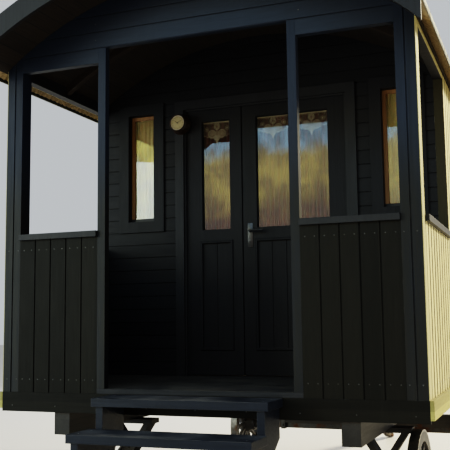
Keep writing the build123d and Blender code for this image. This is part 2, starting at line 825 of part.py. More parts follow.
for label, axle_y in (("porch_clips", porch_axle_y), ("fore_clips", fore_axle_y)):
    with BuildPart() as clips:
        for x in (-clip_offset, clip_offset):
            inner = (bed_width, bed_depth + axle_square)
            outer = (inner[0] + 2 * clip_thickness, inner[1] + 2 * clip_thickness)
            clip_place = (axle_y, bed_top - inner[1] / 2)
            ring_frame(facing_side(x - clip_width / 2), clip_place, outer, inner, clip_width)
    save(clips.part, label)

# Turntable: two iron plates turn on each other round a king pin under the far end.
with BuildPart() as upper_bolster:
    place = (0, upper_bolster_bottom + upper_bolster_depth / 2)
    plane = facing_porch(fore_axle_y - bolster_width / 2)
    prism(plane, place, 2 * sill_offset + sill_width, upper_bolster_depth, -bolster_width)
save(upper_bolster.part, "upper_bolster")
king_place = (0, fore_axle_y)
turntable_plates = (("upper_plate", upper_plate_bottom, True), ("lower_plate", lower_plate_bottom, False))
for label, bottom, has_pin in turntable_plates:
    with BuildPart() as plate:
        with BuildSketch(Plane.XY.offset(bottom)):
            with Locations(king_place):
                Circle(plate_radius)
                Circle(plate_radius - plate_width, mode=Mode.SUBTRACT)
                Rectangle(2 * plate_radius - plate_width, bolster_width)
                if not has_pin:
                    Circle(king_pin_radius + spindle_clearance, mode=Mode.SUBTRACT)
        extrude(amount=plate_thickness)
        if has_pin:
            with BuildSketch(Plane.XY.offset(bed_top + pin_foot_gap)):
                with Locations(king_place):
                    Circle(king_pin_radius)
            extrude(amount=bottom - bed_top - pin_foot_gap)
    save(plate.part, label)

with BuildPart() as fore_bed:
    plane = facing_porch(fore_axle_y - bed_width / 2)
    prism(plane, (0, axle_top + bed_depth / 2), bed_length, bed_depth, -bed_width)
save(fore_bed.part, "fore_bed")

futchell_x = (futchell_gap + futchell_width) / 2
futchell_length = futchell_back + hinge_reach + futchell_depth / 2
futchell_middle = fore_axle_y - futchell_back + futchell_length / 2
with BuildPart() as fore_frame:
    with BuildSketch(Plane.XY.offset(bed_top)):
        with Locations((-futchell_x, futchell_middle), (futchell_x, futchell_middle)):
            Rectangle(futchell_width, futchell_length)
        with Locations(king_place):
            Rectangle(cross_bolster_length, bolster_width)
            Circle(king_pin_radius + spindle_clearance, mode=Mode.SUBTRACT)
    extrude(amount=futchell_depth)
    with BuildSketch(facing_side(-futchell_x - futchell_width)):
        with Locations((hinge_y, hinge_height)):
            Circle(hinge_pin_radius + seat_clearance)
    extrude(amount=2 * (futchell_x + futchell_width), mode=Mode.SUBTRACT)
save(fore_frame.part, "fore_frame")
with BuildPart() as hinge_pin:
    pin_half = futchell_x + futchell_width / 2 + pin_projection
    with BuildSketch(facing_side(-pin_half)):
        with Locations((hinge_y, hinge_height)):
            Circle(hinge_pin_radius)
    extrude(amount=2 * pin_half)
    for start in (-pin_half, pin_half - pin_head_length):
        with BuildSketch(facing_side(start)):
            with Locations((hinge_y, hinge_height)):
                Circle(pin_head_radius)
        extrude(amount=pin_head_length)
save(hinge_pin.part, "hinge_pin")

# Drawbar: a tapered pole on the cross pin, with an iron towing eye that lies on the ground.
along = (0, math.cos(drawbar_slope), -math.sin(drawbar_slope))
upright = (0, math.sin(drawbar_slope), math.cos(drawbar_slope))
pole_plane = Plane(origin=(0, hinge_y, hinge_height), x_dir=(1, 0, 0), z_dir=upright)
pole_side = Plane(origin=(0, hinge_y, hinge_height), x_dir=along, z_dir=(-1, 0, 0))
pole_end = drawbar_length - eye_outer_radius - eye_neck
with BuildPart() as drawbar:
    with BuildSketch(pole_plane):
        with BuildLine():
            half, tip = drawbar_width / 2, drawbar_tip / 2
            Polyline((-half, 0), (-tip, pole_end), (tip, pole_end), (half, 0), close=True)
        make_face()
        with Locations((0, -drawbar_depth / 4)):
            Rectangle(drawbar_width, drawbar_depth / 2)
    extrude(amount=drawbar_depth / 2, both=True)
    with BuildSketch(pole_side):
        with BuildLine():
            Polyline((0, -half), (0, half), (pole_end, tip), (pole_end, -tip), close=True)
        make_face()
        Circle(half)
        Circle(hinge_pin_radius + spindle_clearance, mode=Mode.SUBTRACT)
    extrude(amount=drawbar_width, both=True, mode=Mode.INTERSECT)
save(drawbar.part, "drawbar")
with BuildPart() as tow_eye:
    with BuildSketch(pole_plane):
        with Locations((0, drawbar_length)):
            Circle(eye_outer_radius)
        with Locations((0, (pole_end + drawbar_length) / 2)):
            Rectangle(eye_shank_width, drawbar_length - pole_end)
        with Locations((0, drawbar_length)):
            Circle(eye_bore_radius, mode=Mode.SUBTRACT)
    extrude(amount=eye_thickness / 2, both=True)
    with BuildSketch(pole_plane):
        with Locations((0, pole_end + end_plate / 2)):
            Rectangle(drawbar_tip, end_plate)
    extrude(amount=drawbar_tip / 2, both=True)
save(tow_eye.part, "tow_eye")

# Wheels: a turned nave, tapered spokes and a bent felloe, with an iron tyre shrunk on.
felloe_outer = wheel_radius - tyre_thickness
felloe_inner = felloe_outer - felloe_depth
with BuildPart() as spoke:
    with BuildSketch(Plane.XY.offset(nave_radius - spoke_root_sink)):
        RectangleRounded(spoke_depth, spoke_root_width, spoke_rounding)
    with BuildSketch(Plane.XY.offset(felloe_inner + spoke_tip_sink)):
        RectangleRounded(spoke_tip_depth, spoke_tip_width, spoke_rounding)
    loft()
with BuildPart() as wheel_master:
    with BuildSketch(Plane.XZ):
        with BuildLine():
            half = nave_length / 2
            shoulder = half - nave_end_length
            Polyline(
                (-half, spindle_radius + spindle_clearance), (-half, nave_end_radius),
                (-shoulder, nave_end_radius), (-spoke_depth / 2, nave_radius),
                (spoke_depth / 2, nave_radius), (shoulder, nave_end_radius),
                (half, nave_end_radius), (half, spindle_radius + spindle_clearance), close=True,
            )
        make_face()
    revolve(axis=Axis.X)
    with BuildSketch(Plane.YZ.offset(-wheel_width / 2)):
        Circle(felloe_outer)
        Circle(felloe_inner, mode=Mode.SUBTRACT)
    extrude(amount=wheel_width)
    with Locations(*[Location((0, 0, 0), (360 * i / spoke_count, 0, 0)) for i in range(spoke_count)]):
        add(spoke.part)
with BuildPart() as tyre_master:
    with BuildSketch(Plane.YZ.offset(-wheel_width / 2)):
        Circle(wheel_radius)
        Circle(felloe_outer + seat_clearance, mode=Mode.SUBTRACT)
    extrude(amount=wheel_width)
for end, axle_y in (("porch", porch_axle_y), ("fore", fore_axle_y)):
    for hand, side in (("left", -1), ("right", 1)):
        place = (side * track / 2, axle_y, axle_height)
        for kind, master in (("wheel", wheel_master), ("tyre", tyre_master)):
            with BuildPart() as placed:
                with Locations(place):
                    add(master.part)
            save(placed.part, f"{kind}_{end}_{hand}")
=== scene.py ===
# %% [markdown]
# # A timber living wagon, dressed
#
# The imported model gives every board, post, pane and wheel its exact place. This lesson adds what a
# plain model lacks: paint that has been brushed on and rained on, a roof of corrugated sheet, curtains
# that hang in folds, screws, hoops and bolts. The porch end faces -Y and one unit is one metre.

import math
import random

import bmesh
import bpy
from mathutils import Matrix, Vector


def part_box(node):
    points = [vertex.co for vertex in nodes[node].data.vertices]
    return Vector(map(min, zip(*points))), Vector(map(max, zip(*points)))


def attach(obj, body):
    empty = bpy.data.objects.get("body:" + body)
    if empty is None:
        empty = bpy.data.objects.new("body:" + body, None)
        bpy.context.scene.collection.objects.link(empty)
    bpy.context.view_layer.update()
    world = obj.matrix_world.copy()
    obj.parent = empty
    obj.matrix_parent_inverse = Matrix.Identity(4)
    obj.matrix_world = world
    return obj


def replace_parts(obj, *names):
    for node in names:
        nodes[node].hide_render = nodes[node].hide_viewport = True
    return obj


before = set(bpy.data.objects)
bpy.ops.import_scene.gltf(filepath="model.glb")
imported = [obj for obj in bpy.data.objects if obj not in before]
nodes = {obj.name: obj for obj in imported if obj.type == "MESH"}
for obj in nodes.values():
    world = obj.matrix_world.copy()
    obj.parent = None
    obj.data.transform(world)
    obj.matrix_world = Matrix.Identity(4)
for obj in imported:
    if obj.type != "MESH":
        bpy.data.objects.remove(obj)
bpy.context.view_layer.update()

# %% [markdown]
# ## Places to measure from
#
# A carpenter sets out from a few lines: the front of the porch, the deck, the wall with the door. We
# read them from the nodes' own boxes, so that each new piece sits on the timber that carries it. The
# roof is an arc, so its radius and its axis come from the boards' width and rise.

# %% Set out the main lines
deck_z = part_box("floor")[1].z
fascia_low, fascia_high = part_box("end_fascias")
front_y, back_y = fascia_low.y, fascia_high.y
cabin_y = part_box("cabin_front")[0].y
half_width = -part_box("left_wall")[0].x
sheet_low, sheet_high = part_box("roof_sheet")
roof_board, roof_rise = 0.02, 0.5
roof_radius = (sheet_high.x**2 + roof_rise**2) / (2 * roof_rise)
roof_axis_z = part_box("roof_boards")[1].z - roof_board - roof_radius
print("deck", round(deck_z, 4), "front", round(front_y, 4), "cabin", round(cabin_y, 4))
print("roof axis", round(roof_axis_z, 4), "eaves at", round(sheet_high.x, 4))

# %% [markdown]
# ## The photographer's place
#
# The view is from the ground to the right of the steps, with the lens tilted up a little. The camera
# was worked out from lines that run to the vanishing points. Its three directions are written as a
# matrix: right, up and backwards.

# %% Place the camera
lens = bpy.data.cameras.new("porch_view")
lens.lens, lens.sensor_width = 66.57, 36
camera = bpy.data.objects.new("porch_view", lens)
bpy.context.collection.objects.link(camera)
right = Vector((0.93102, 0.36476, -0.01241))
up = Vector((0.05354, -0.10287, 0.99326))
forward = Vector((-0.36102, 0.92540, 0.11530))
turn = Matrix((right, up, -forward)).transposed().to_4x4()
camera.matrix_world = Matrix.Translation((1.8306, front_y - 4.2124, deck_z + 0.37)) @ turn
bpy.context.scene.camera = camera
print("camera at", [round(v, 3) for v in camera.location])

# %% [markdown]
# ## Studio light
#
# The wagon stands on a plain pale floor under soft light. A warm lamp on the right plays the sun that
# rakes along the side wall. A cool one fills the left, and a third lights the back. Far behind the
# camera hangs a wide card, which a later cell tints, so that the panes have something to mirror.


# %% Light the floor and the wagon
def soft_lamp(name, place, target, size, power, colour):
    lamp = bpy.data.lights.new(name, "AREA")
    lamp.shape = "RECTANGLE"
    lamp.size, lamp.size_y = size
    lamp.energy = power
    lamp.color = colour
    holder = bpy.data.objects.new(name, lamp)
    bpy.context.collection.objects.link(holder)
    holder.location = place
    holder.rotation_euler = (Vector(target) - Vector(place)).to_track_quat("-Z", "Y").to_euler()
    return lamp


soft_lamp("sun_side", (7.8, 5.6, 7.2), (0.9, -0.6, 1.5), (2.2, 2.2), 2400, (1.0, 0.88, 0.60))
soft_lamp("left_fill", (-7.2, -9.3, 2.6), (0, -1.0, 2.2), (5.0, 4.0), 330, (0.70, 0.85, 1.0))
soft_lamp("far_fill", (-5.0, 9.0, 6.0), (0, 1.0, 1.6), (5.0, 5.0), 420, (0.95, 0.97, 1.0))
card_size = (22.0, 9.0)
mirror_card = soft_lamp("mirror_card", (-1.0, -13.5, 4.8), (-1.0, 0.0, 4.8), card_size, 1740, (1, 1, 1))

sky = bpy.data.worlds.new("pale_room")
bpy.context.scene.world = sky
sky.use_nodes = True
backdrop = sky.node_tree.nodes["Background"].inputs
backdrop["Color"].default_value = (0.82, 0.87, 0.92, 1)
backdrop["Strength"].default_value = 0.6
bpy.context.scene.view_settings.view_transform = "Filmic"
bpy.context.scene.view_settings.look = "High Contrast"

# %% [markdown]
# ## Wiring a material
#
# A procedural material is a chain of small nodes. Clicking them together by hand is slow, so these
# helpers add a node, fill its sockets by value or by wire, and hand back what it puts out.


# %% Helpers for shader nodes
def fill(tree, socket, value):
    """Fills a socket by wire if the value is another socket."""
    if isinstance(value, bpy.types.NodeSocket):
        tree.links.new(value, socket)
    else:
        socket.default_value = value


def put(tree, kind, sockets=(), **settings):
    node = tree.nodes.new(kind)
    for setting, value in settings.items():
        setattr(node, setting, value)
    for key, value in dict(sockets).items():
        fill(tree, node.inputs[key], value)
    return node


def sums(tree, operation, *values, clamp=False):
    return put(tree, "ShaderNodeMath", enumerate(values), operation=operation, use_clamp=clamp).outputs[0]


def plus(tree, *values, clamp=False):
    return sums(tree, "ADD", *values, clamp=clamp)


def minus(tree, *values):
    return sums(tree, "SUBTRACT", *values)


def times(tree, *values):
    return sums(tree, "MULTIPLY", *values)


def spread(tree, value, low, high, to_low=0.0, to_high=1.0):
    sockets = {"Value": value, "From Min": low, "From Max": high, "To Min": to_low, "To Max": to_high}
    return put(tree, "ShaderNodeMapRange", sockets, interpolation_type="SMOOTHSTEP").outputs[0]


def tint(tree, mask, first, second, blend_type="MIX"):
    node = put(tree, "ShaderNodeMix", {0: mask}, data_type="RGBA", blend_type=blend_type)
    for place, colour in ((6, first), (7, second)):
        fill(tree, node.inputs[place], (*colour, 1) if isinstance(colour, tuple) else colour)
    return node.outputs[2]


def mottle(tree, vector, scale, detail=3.0, roughness=0.55, distortion=0.0):
    sockets = {"Vector": vector, "Scale": scale, "Detail": detail, "Roughness": roughness}
    sockets["Distortion"] = distortion
    return put(tree, "ShaderNodeTexNoise", sockets).outputs["Fac"]


def split(tree, vector):
    return put(tree, "ShaderNodeSeparateXYZ", {0: vector}).outputs


def join(tree, *parts):
    return put(tree, "ShaderNodeCombineXYZ", enumerate(parts)).outputs[0]


def stretch(tree, vector, scale):
    return put(tree, "ShaderNodeMapping", {"Vector": vector, "Scale": scale}).outputs[0]


def object_place(tree):
    return put(tree, "ShaderNodeTexCoord").outputs["Object"]


def toned(colour, factor, lift=0.0):
    return tuple(v * factor + lift for v in colour)


print("helpers for nodes ready")

# %% [markdown]
# ## Finishes and shared effects
#
# Every finish starts alike: a material, its shader, and the few numbers that are the same all over. It
# ends alike too, with a colour, a roughness and a relief wired in. An effect that many finishes share
# goes into a node group, which is built once and placed in each with its own values.


# %% Helpers for finishes and groups
def new_finish(name, constants):
    """A material with plain numbers on its shader's own sockets."""
    finish = bpy.data.materials.new(name)
    finish.use_nodes = True
    shader = finish.node_tree.nodes["Principled BSDF"].inputs
    for socket, value in constants.items():
        shader[socket].default_value = value
    return finish, finish.node_tree, shader


def coat(tree, shader, skin, rough=None, relief=None, bump=(0.5, 0.001), normal=None):
    """Wires colour, roughness and relief to the shader; bump is (strength, distance)."""
    tree.links.new(skin, shader["Base Color"])
    if rough is not None:
        tree.links.new(rough, shader["Roughness"])
    if relief is not None:
        raised = put(tree, "ShaderNodeBump", {"Strength": bump[0], "Distance": bump[1], "Height": relief})
        if normal is not None:
            tree.links.new(normal, raised.inputs["Normal"])
        tree.links.new(raised.outputs[0], shader["Normal"])


def start_group(name, inputs, outputs):
    """Opens a node group. An input without a value is a vector, and so is an output called Normal."""
    group = bpy.data.node_groups.new(name, "ShaderNodeTree")
    for label, value in inputs.items():
        kind = "NodeSocketVector" if value is None else "NodeSocketFloat"
        socket = group.interface.new_socket(name=label, in_out="INPUT", socket_type=kind)
        if value is not None:
            socket.default_value = value
    for label in outputs:
        kind = "NodeSocketVector" if label == "Normal" else "NodeSocketFloat"
        group.interface.new_socket(name=label, in_out="OUTPUT", socket_type=kind)
    return group, put(group, "NodeGroupInput").outputs, put(group, "NodeGroupOutput").inputs


def use_group(tree, group, **sockets):
    node = put(tree, "ShaderNodeGroup", node_tree=group)
    for key, value in sockets.items():
        fill(tree, node.inputs[key.replace("_", " ").capitalize()], value)
    return node.outputs


print("helpers for finishes ready")

# %% [markdown]
# ## A card for the panes to mirror
#
# Out of doors a pane mirrors the sky and whatever stands below it, and flat white light makes it look
# like plastic. Painting that into the glass would slide with the view. So the light itself is tinted: a
# soft ramp from brown over yellow to pale blue, mottled as if out of focus, and yellow on the left.

# %% Tint the card
mirror_card.use_nodes = True
tree = mirror_card.node_tree
spot = put(tree, "ShaderNodeNewGeometry").outputs["Parametric"]
axes = split(tree, spot)
blur = mottle(tree, stretch(tree, spot, (*card_size, 1.0)), 1.7, 5.0, 0.62, 0.6)
height = plus(tree, axes[1], times(tree, minus(tree, blur, 0.5), 0.10))
pale_blue = (0.36, 0.68, 0.92)
glow = tint(tree, spread(tree, height, 0.36, 0.47), (0.13, 0.065, 0.02), (0.66, 0.53, 0.11))
glow = tint(tree, spread(tree, height, 0.53, 0.57), glow, pale_blue)
glow = tint(tree, spread(tree, axes[0], 0.27, 0.24), glow, (0.99, 0.92, 0.15))
glow = tint(tree, spread(tree, height, 0.69, 0.75), glow, pale_blue)
shade = spread(tree, blur, 0.36, 0.62, 0.45, 1.15)
glow = tint(tree, 1.0, glow, join(tree, shade, shade, shade), "MULTIPLY")
tree.links.new(glow, tree.nodes["Emission"].inputs["Color"])
print("card nodes:", len(tree.nodes))

# %% [markdown]
# ## Boards and their grain
#
# Sawn boards differ from one to the next, and the fibres run along each one without crossing the
# joint. One noise over the whole wall would look like stone. So this group counts the boards across
# the wall, gives each its own random tone, and shifts a noise that is stretched along the grain. Seam
# falls from one to nothing close to a joint, which lets a finish darken the gap.

# %% Group: board grain
board_grain, into, out_of = start_group(
    "board_grain", {"Vector": None, "Board": 0.1, "Start": 0.0, "Fibre": 120.0, "Joint": 0.035},
    ("Tone", "Grain", "Streak", "Seam"),
)
tree = board_grain
parts = split(tree, into["Vector"])
across = sums(tree, "DIVIDE", minus(tree, parts[0], into["Start"]), into["Board"])
count = plus(tree, sums(tree, "FLOOR", across), 0.37)
tone = put(tree, "ShaderNodeTexWhiteNoise", {"W": count}, noise_dimensions="1D").outputs["Value"]
shift = times(tree, tone, 31.0)
for label, squeeze, share, detail in (("Grain", 0.045, 1.0, 5.0), ("Streak", 0.09, 0.13, 3.0)):
    lane = join(tree, parts[0], plus(tree, times(tree, parts[1], squeeze), shift), parts[2])
    noise = mottle(tree, lane, times(tree, into["Fibre"], share), detail, 0.6, 0.25)
    tree.links.new(noise, out_of[label])
tree.links.new(tone, out_of["Tone"])
edge = sums(tree, "PINGPONG", across, 0.5)
tree.links.new(spread(tree, edge, times(tree, into["Joint"], 0.7), into["Joint"]), out_of["Seam"])
print("board_grain nodes:", len(tree.nodes))

# %% [markdown]
# ## Worn and rounded edges
#
# No painted edge stays sharp: the brush rounds it and hands rub it. Modelling a bevel on every board
# would cost many faces, so the Bevel node rounds the normals while rendering. Where the rounded normal
# leaves the true one there is an edge, and a noise breaks that line up into patches of wear.

# %% Group: soft edges
soft_edges, into, out_of = start_group(
    "soft_edges", {"Vector": None, "Radius": 0.003, "Patchiness": 9.0, "Wear": 0.5}, ("Mask", "Normal"),
)
tree = soft_edges
rounded = put(tree, "ShaderNodeBevel", {"Radius": into["Radius"]}, samples=4).outputs[0]
true_normal = put(tree, "ShaderNodeNewGeometry").outputs["Normal"]
agree = put(tree, "ShaderNodeVectorMath", {0: rounded, 1: true_normal}, operation="DOT_PRODUCT")
edge = spread(tree, minus(tree, 1.0, agree.outputs["Value"]), 0.01, 0.16)
patches = mottle(tree, into["Vector"], into["Patchiness"], 4.0, 0.65)
floor_level = minus(tree, 0.82, times(tree, into["Wear"], 0.5))
patches = spread(tree, patches, floor_level, plus(tree, floor_level, 0.12))
tree.links.new(times(tree, edge, patches), out_of["Mask"])
tree.links.new(rounded, out_of["Normal"])
print("soft_edges nodes:", len(tree.nodes))

# %% [markdown]
# ## Dust, rain and road dirt
#
# Weather marks a wagon in three ways. Pale dust settles on faces that look up, rain leaves upright
# runs, and mud from the road climbs the lowest half metre. Each is a mask over a noise, so that every
# material can pick its own colour for it.

# %% Group: weather
weather, into, out_of = start_group(
    "weather", {"Vector": None, "Dust": 0.4, "Mud height": 0.3}, ("Dust", "Mud", "Runs"),
)
tree = weather
upward = split(tree, put(tree, "ShaderNodeNewGeometry").outputs["Normal"])[2]
cloud = mottle(tree, into["Vector"], 5.0, 6.0, 0.6)
settled = times(tree, spread(tree, upward, 0.35, 0.95), spread(tree, cloud, 0.3, 0.68))
tree.links.new(times(tree, settled, into["Dust"]), out_of["Dust"])
splash = plus(tree, split(tree, into["Vector"])[2], times(tree, cloud, 0.35))
tree.links.new(spread(tree, splash, plus(tree, into["Mud height"], 0.3), 0.12), out_of["Mud"])
thin = mottle(tree, stretch(tree, into["Vector"], (26.0, 26.0, 1.1)), 1.0)
tree.links.new(spread(tree, thin, 0.52, 0.8), out_of["Runs"])
mud_brown = (0.085, 0.066, 0.045)
print("weather nodes:", len(tree.nodes))

# %% [markdown]
# ## Painted and bare timber
#
# Every timber material is the same recipe with other numbers: which way the boards are counted, which
# way the grain runs, how wide a board is, and what lies on top. Paint hides most of the grain but it
# still shows in the gloss, so the fibres feed the bump more than the colour.


# %% Recipe for timber
def timber(
    name, colour, worn, boards, fibre=120.0, gloss=0.45, shine=0.35, tone_range=0.25, grain_depth=0.35,
    wear=0.5, radius=0.003, dust=(0.35, (0.2, 0.19, 0.16)), mud=0.25, runs=0.15, seam_depth=0.0,
    joint=(0.035, (0.006, 0.005, 0.004)), lower=None, inside=None,
):
    """boards is (axis across, axis along, board width, start); dust and joint are (amount, colour), lower
    is (height, colour) for the part below, and inside gives a mask and the bare colour behind it."""
    across_axis, grain_axis, board, start = boards
    finish, tree, shader = new_finish(name, {"Specular IOR Level": shine})
    place = object_place(tree)
    axes = split(tree, place)
    lane = join(tree, axes[across_axis], axes[grain_axis], axes[3 - across_axis - grain_axis])
    laid = {"vector": lane, "board": board, "start": start, "fibre": fibre, "joint": joint[0]}
    grain = use_group(tree, board_grain, **laid)
    edges = use_group(tree, soft_edges, vector=place, radius=radius, wear=wear)
    marks = use_group(tree, weather, vector=place, dust=dust[0], mud_height=mud)
    skin = tint(tree, grain["Tone"], toned(colour, 1 - tone_range), toned(colour, 1 + tone_range))
    # lower paints a darker colour below a height; it is used as painted shade.
    if lower is not None:
        skin = tint(tree, spread(tree, axes[2], lower[0] + 0.5, lower[0]), skin, lower[1])
    fibres = spread(tree, grain["Grain"], 0.35, 0.7)
    skin = tint(tree, times(tree, fibres, grain_depth), skin, toned(colour, 0.55))
    streaks = spread(tree, grain["Streak"], 0.45, 0.75)
    skin = tint(tree, times(tree, streaks, grain_depth * 0.6), skin, toned(colour, 1.35))
    skin = tint(tree, times(tree, marks["Runs"], runs), skin, toned(colour, 1.6, 0.01))
    if inside is not None:
        inside_mask, bare = inside(tree, place)
        bare_wood = tint(tree, times(tree, fibres, 0.7), bare, toned(bare, 0.5))
        skin = tint(tree, inside_mask, skin, bare_wood)
    relief = grain["Grain"]
    if seam_depth:
        skin = tint(tree, minus(tree, 1.0, grain["Seam"]), skin, joint[1])
        relief = plus(tree, relief, times(tree, grain["Seam"], seam_depth))
    skin = tint(tree, edges["Mask"], skin, worn)
    skin = tint(tree, marks["Dust"], skin, dust[1])
    skin = tint(tree, times(tree, marks["Mud"], 0.55), skin, mud_brown)
    dull = plus(tree, gloss, times(tree, grain["Grain"], 0.22))
    dull = plus(tree, dull, times(tree, marks["Dust"], 0.3), clamp=True)
    coat(tree, shader, skin, dull, relief, (0.35, 0.0012), edges["Normal"])
    return finish


def dress(finish, *names):
    for name in names:
        mesh = nodes[name].data
        mesh.materials.clear()
        mesh.materials.append(finish)
    return finish


print("timber recipe ready")

# %% [markdown]
# ## Where one finish stops
#
# A board may be painted outside and bare inside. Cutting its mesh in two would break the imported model,
# so a mask decides: past a plane across one axis, or by the distance from the wagon's middle.


# %% Masks for a second finish
def behind(axis, limit, sign, bare):
    def mask(tree, place):
        value = split(tree, place)[axis]
        return spread(tree, value, limit - sign * 0.002, limit + sign * 0.002), bare

    return mask


def off_middle(start, end, other):
    """start and end are measured inwards from the outer face of the long sides."""

    def mask(tree, place):
        distance = sums(tree, "ABSOLUTE", split(tree, place)[0])
        return spread(tree, distance, half_width - start, half_width - end), other

    return mask


print("masks ready")

# %% [markdown]
# ## The near-black paint of the porch
#
# The porch, the door and the steps wear one satin paint, nearly black. The navy on the gable and the
# upper posts is painted sky light, and the brown on the panels, the fascia and the posts' feet is painted
# shade, so there are three inks. The boards run sideways on the gable and the cabin wall, but upright in
# the panels, so the paint is mixed once for each direction.

# %% Mix the black paint
ink = (0.0084, 0.0080, 0.0096)
# Navy tint for the gable and the upper posts: painted sky light.
skylit_ink = (0.0052, 0.0094, 0.0200)
# Brown tint for the panels and the fascia: painted shade.
shaded_ink = (0.0080, 0.0070, 0.0048)
ink_worn = (0.05, 0.047, 0.045)
bare_pine = (0.26, 0.145, 0.062)
sage = (0.52, 0.445, 0.205)
lap, panel_board, panel_start, wall_core = 0.0925, 0.103, 0.61, 0.045
outer_faces = off_middle(0.004, 0.001, sage)
gable_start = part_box("inner_posts")[1].z


def black(name, colour, boards, *names, **look):
    return dress(timber(f"black_{name}", colour, ink_worn, boards, **look), *names)


pine_indoors = behind(1, cabin_y + wall_core, 1, bare_pine)
black("laps", ink, (2, 0, lap, deck_z), "cabin_front", inside=pine_indoors, shine=0.22)
# The gable takes the navy ink, which is painted sky light.
black("gable", skylit_ink, (2, 0, 0.1, gable_start), "front_gable", wear=0.35)
upright = (0, 2, panel_board, panel_start)
# The panels and the fascia take the brown ink, which is painted shade.
black(
    "panels", shaded_ink, upright, "front_panels", wear=0.45, shine=0.14, mud=0.15,
    dust=(0.3, (0.16, 0.13, 0.08)),
)
black("fascias", shaded_ink, (2, 0, 0.3, 0.0), "end_fascias", wear=0.5, shine=0.14)
paint_doors = black("doors", ink, upright, "left_door", "right_door", "slim_casings", wear=0.45, shine=0.22)
black(
    # The posts are navy above as painted sky light and near black below the cap rail as painted shade.
    "posts", skylit_ink, (0, 2, 0.4, 0.0), "corner_posts", "inner_posts", fibre=90, wear=0.55, shine=0.3,
    inside=outer_faces, lower=(deck_z + 0.95, (0.0045, 0.0038, 0.0022)),
)
black("rails", ink, (1, 0, 0.4, 0.0), "porch_plates", fibre=90, wear=0.6, inside=outer_faces)
paint_trim = black(
    "trim", ink, (1, 2, 0.4, 0.0), "cap_rails", "barge_boards", "door_frame", "window_casings", fibre=90,
)
paint_treads = timber(
    "black_treads", (0.009, 0.012, 0.020), (0.09, 0.085, 0.08), (1, 0, 0.25, front_y), fibre=80, wear=0.85,
    grain_depth=0.5, radius=0.005, dust=(0.5, (0.15, 0.155, 0.16)), gloss=0.34, shine=0.2,
)
dress(paint_treads, "step_treads", "step_strings")


def count_of(paint):
    return sum(node.data.materials[0].name.startswith(paint) for node in nodes.values())


print("black paint on", count_of("black"))

# %% [markdown]
# ## Sage boards
#
# The long sides and the back wear a pale sage paint that the sun has turned creamy. The gaps between
# the boards are painted dark olive, on the sides in bands wider than the grooves, as painted shade in the
# grooves. Indoors the same boards are bare pine, so a mask along X or Y switches to bare wood a few
# centimetres behind the outer face.

# %% Mix the sage paint
grey_dust = (0.4, (0.36, 0.33, 0.25))
# Dark olive in the joints: painted shade in the grooves.
groove_shade = (0.024, 0.018, 0.004)
bay_start = front_y + 0.09
porch_board = (cabin_y - bay_start) / 10
sage_worn = (0.27, 0.25, 0.18)


def sage_paint(name, boards, gap, inside, label):
    finish = timber(
        f"sage_{name}", sage, sage_worn, boards, gloss=0.55, wear=0.6, tone_range=0.12, dust=grey_dust,
        mud=0.0, runs=0.3, seam_depth=0.5, joint=(gap, groove_shade), inside=inside,
    )
    dress(finish, label)


# On the sides the dark joints are a fifth of a board wide, wider than the grooves: painted shade.
for side, label in ((-1, "left_wall"), (1, "right_wall")):
    core = behind(0, side * (half_width - wall_core), -side, bare_pine)
    sage_paint(label, (1, 2, 0.105, cabin_y), 0.20, core, label)
sage_paint("back", (2, 0, lap, deck_z), 0.04, behind(1, back_y - wall_core, -1, bare_pine), "back_wall")
sage_paint("panels", (1, 2, porch_board, bay_start), 0.20, off_middle(0.028, 0.032, ink), "side_panels")
skirt_paint = timber(
    "sage_skirts", (0.31, 0.265, 0.08), sage_worn, (2, 1, 0.3, 0.0), gloss=0.55, wear=0.6, dust=grey_dust,
    runs=0.2,
)
dress(skirt_paint, "side_skirts")
print("sage paint on", count_of("sage"))

# %% [markdown]
# ## Deck, ceiling and bare wood
#
# Feet rub the deck grey. Under the roof the boards and bows are aged wood, painted darker still as
# painted shade, and they get neither dust nor rain. The sashes are oiled, which brings out their grain,
# the slim ones painted lighter as painted sunlight, and the frame below the floor is tarred against the
# road.

# %% Mix the other timber finishes
sheltered = {"mud": 0.0, "runs": 0.0}
undusted = {"dust": (0.0, grey_dust[1]), **sheltered}
oiled = {"grain_depth": 0.75, "gloss": 0.36, "dust": (0.15, grey_dust[1]), "tone_range": 0.1, **sheltered}
sash_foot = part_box("slim_sashes")[0].z + 0.026
deck_paint = timber(
    "deck_boards", (0.020, 0.020, 0.022), (0.09, 0.08, 0.07), (1, 0, 0.121, front_y), wear=0.7,
    grain_depth=0.6, gloss=0.5, shine=0.2, dust=(0.4, (0.13, 0.12, 0.10)),
    inside=behind(1, cabin_y + 0.06, 1, (0.26, 0.15, 0.07)),
)
# Ceiling boards and bows: aged wood, darkened further as painted shade under the roof.
shaded_ceiling = timber(
    "ceiling_boards", (0.022, 0.014, 0.009), (0.06, 0.04, 0.025), (0, 1, 0.09, -0.045), grain_depth=0.8,
    gloss=0.6, seam_depth=3.0, **undusted,
)
bow_timber = timber(
    "bow_timber", (0.030, 0.018, 0.011), (0.07, 0.045, 0.03), (1, 0, 0.3, 0.0), grain_depth=0.7,
    gloss=0.55, **undusted,
)
sash_wood = timber("oiled_sash", (0.115, 0.055, 0.02), (0.18, 0.1, 0.05), (0, 2, 0.5, 0.0), **oiled)
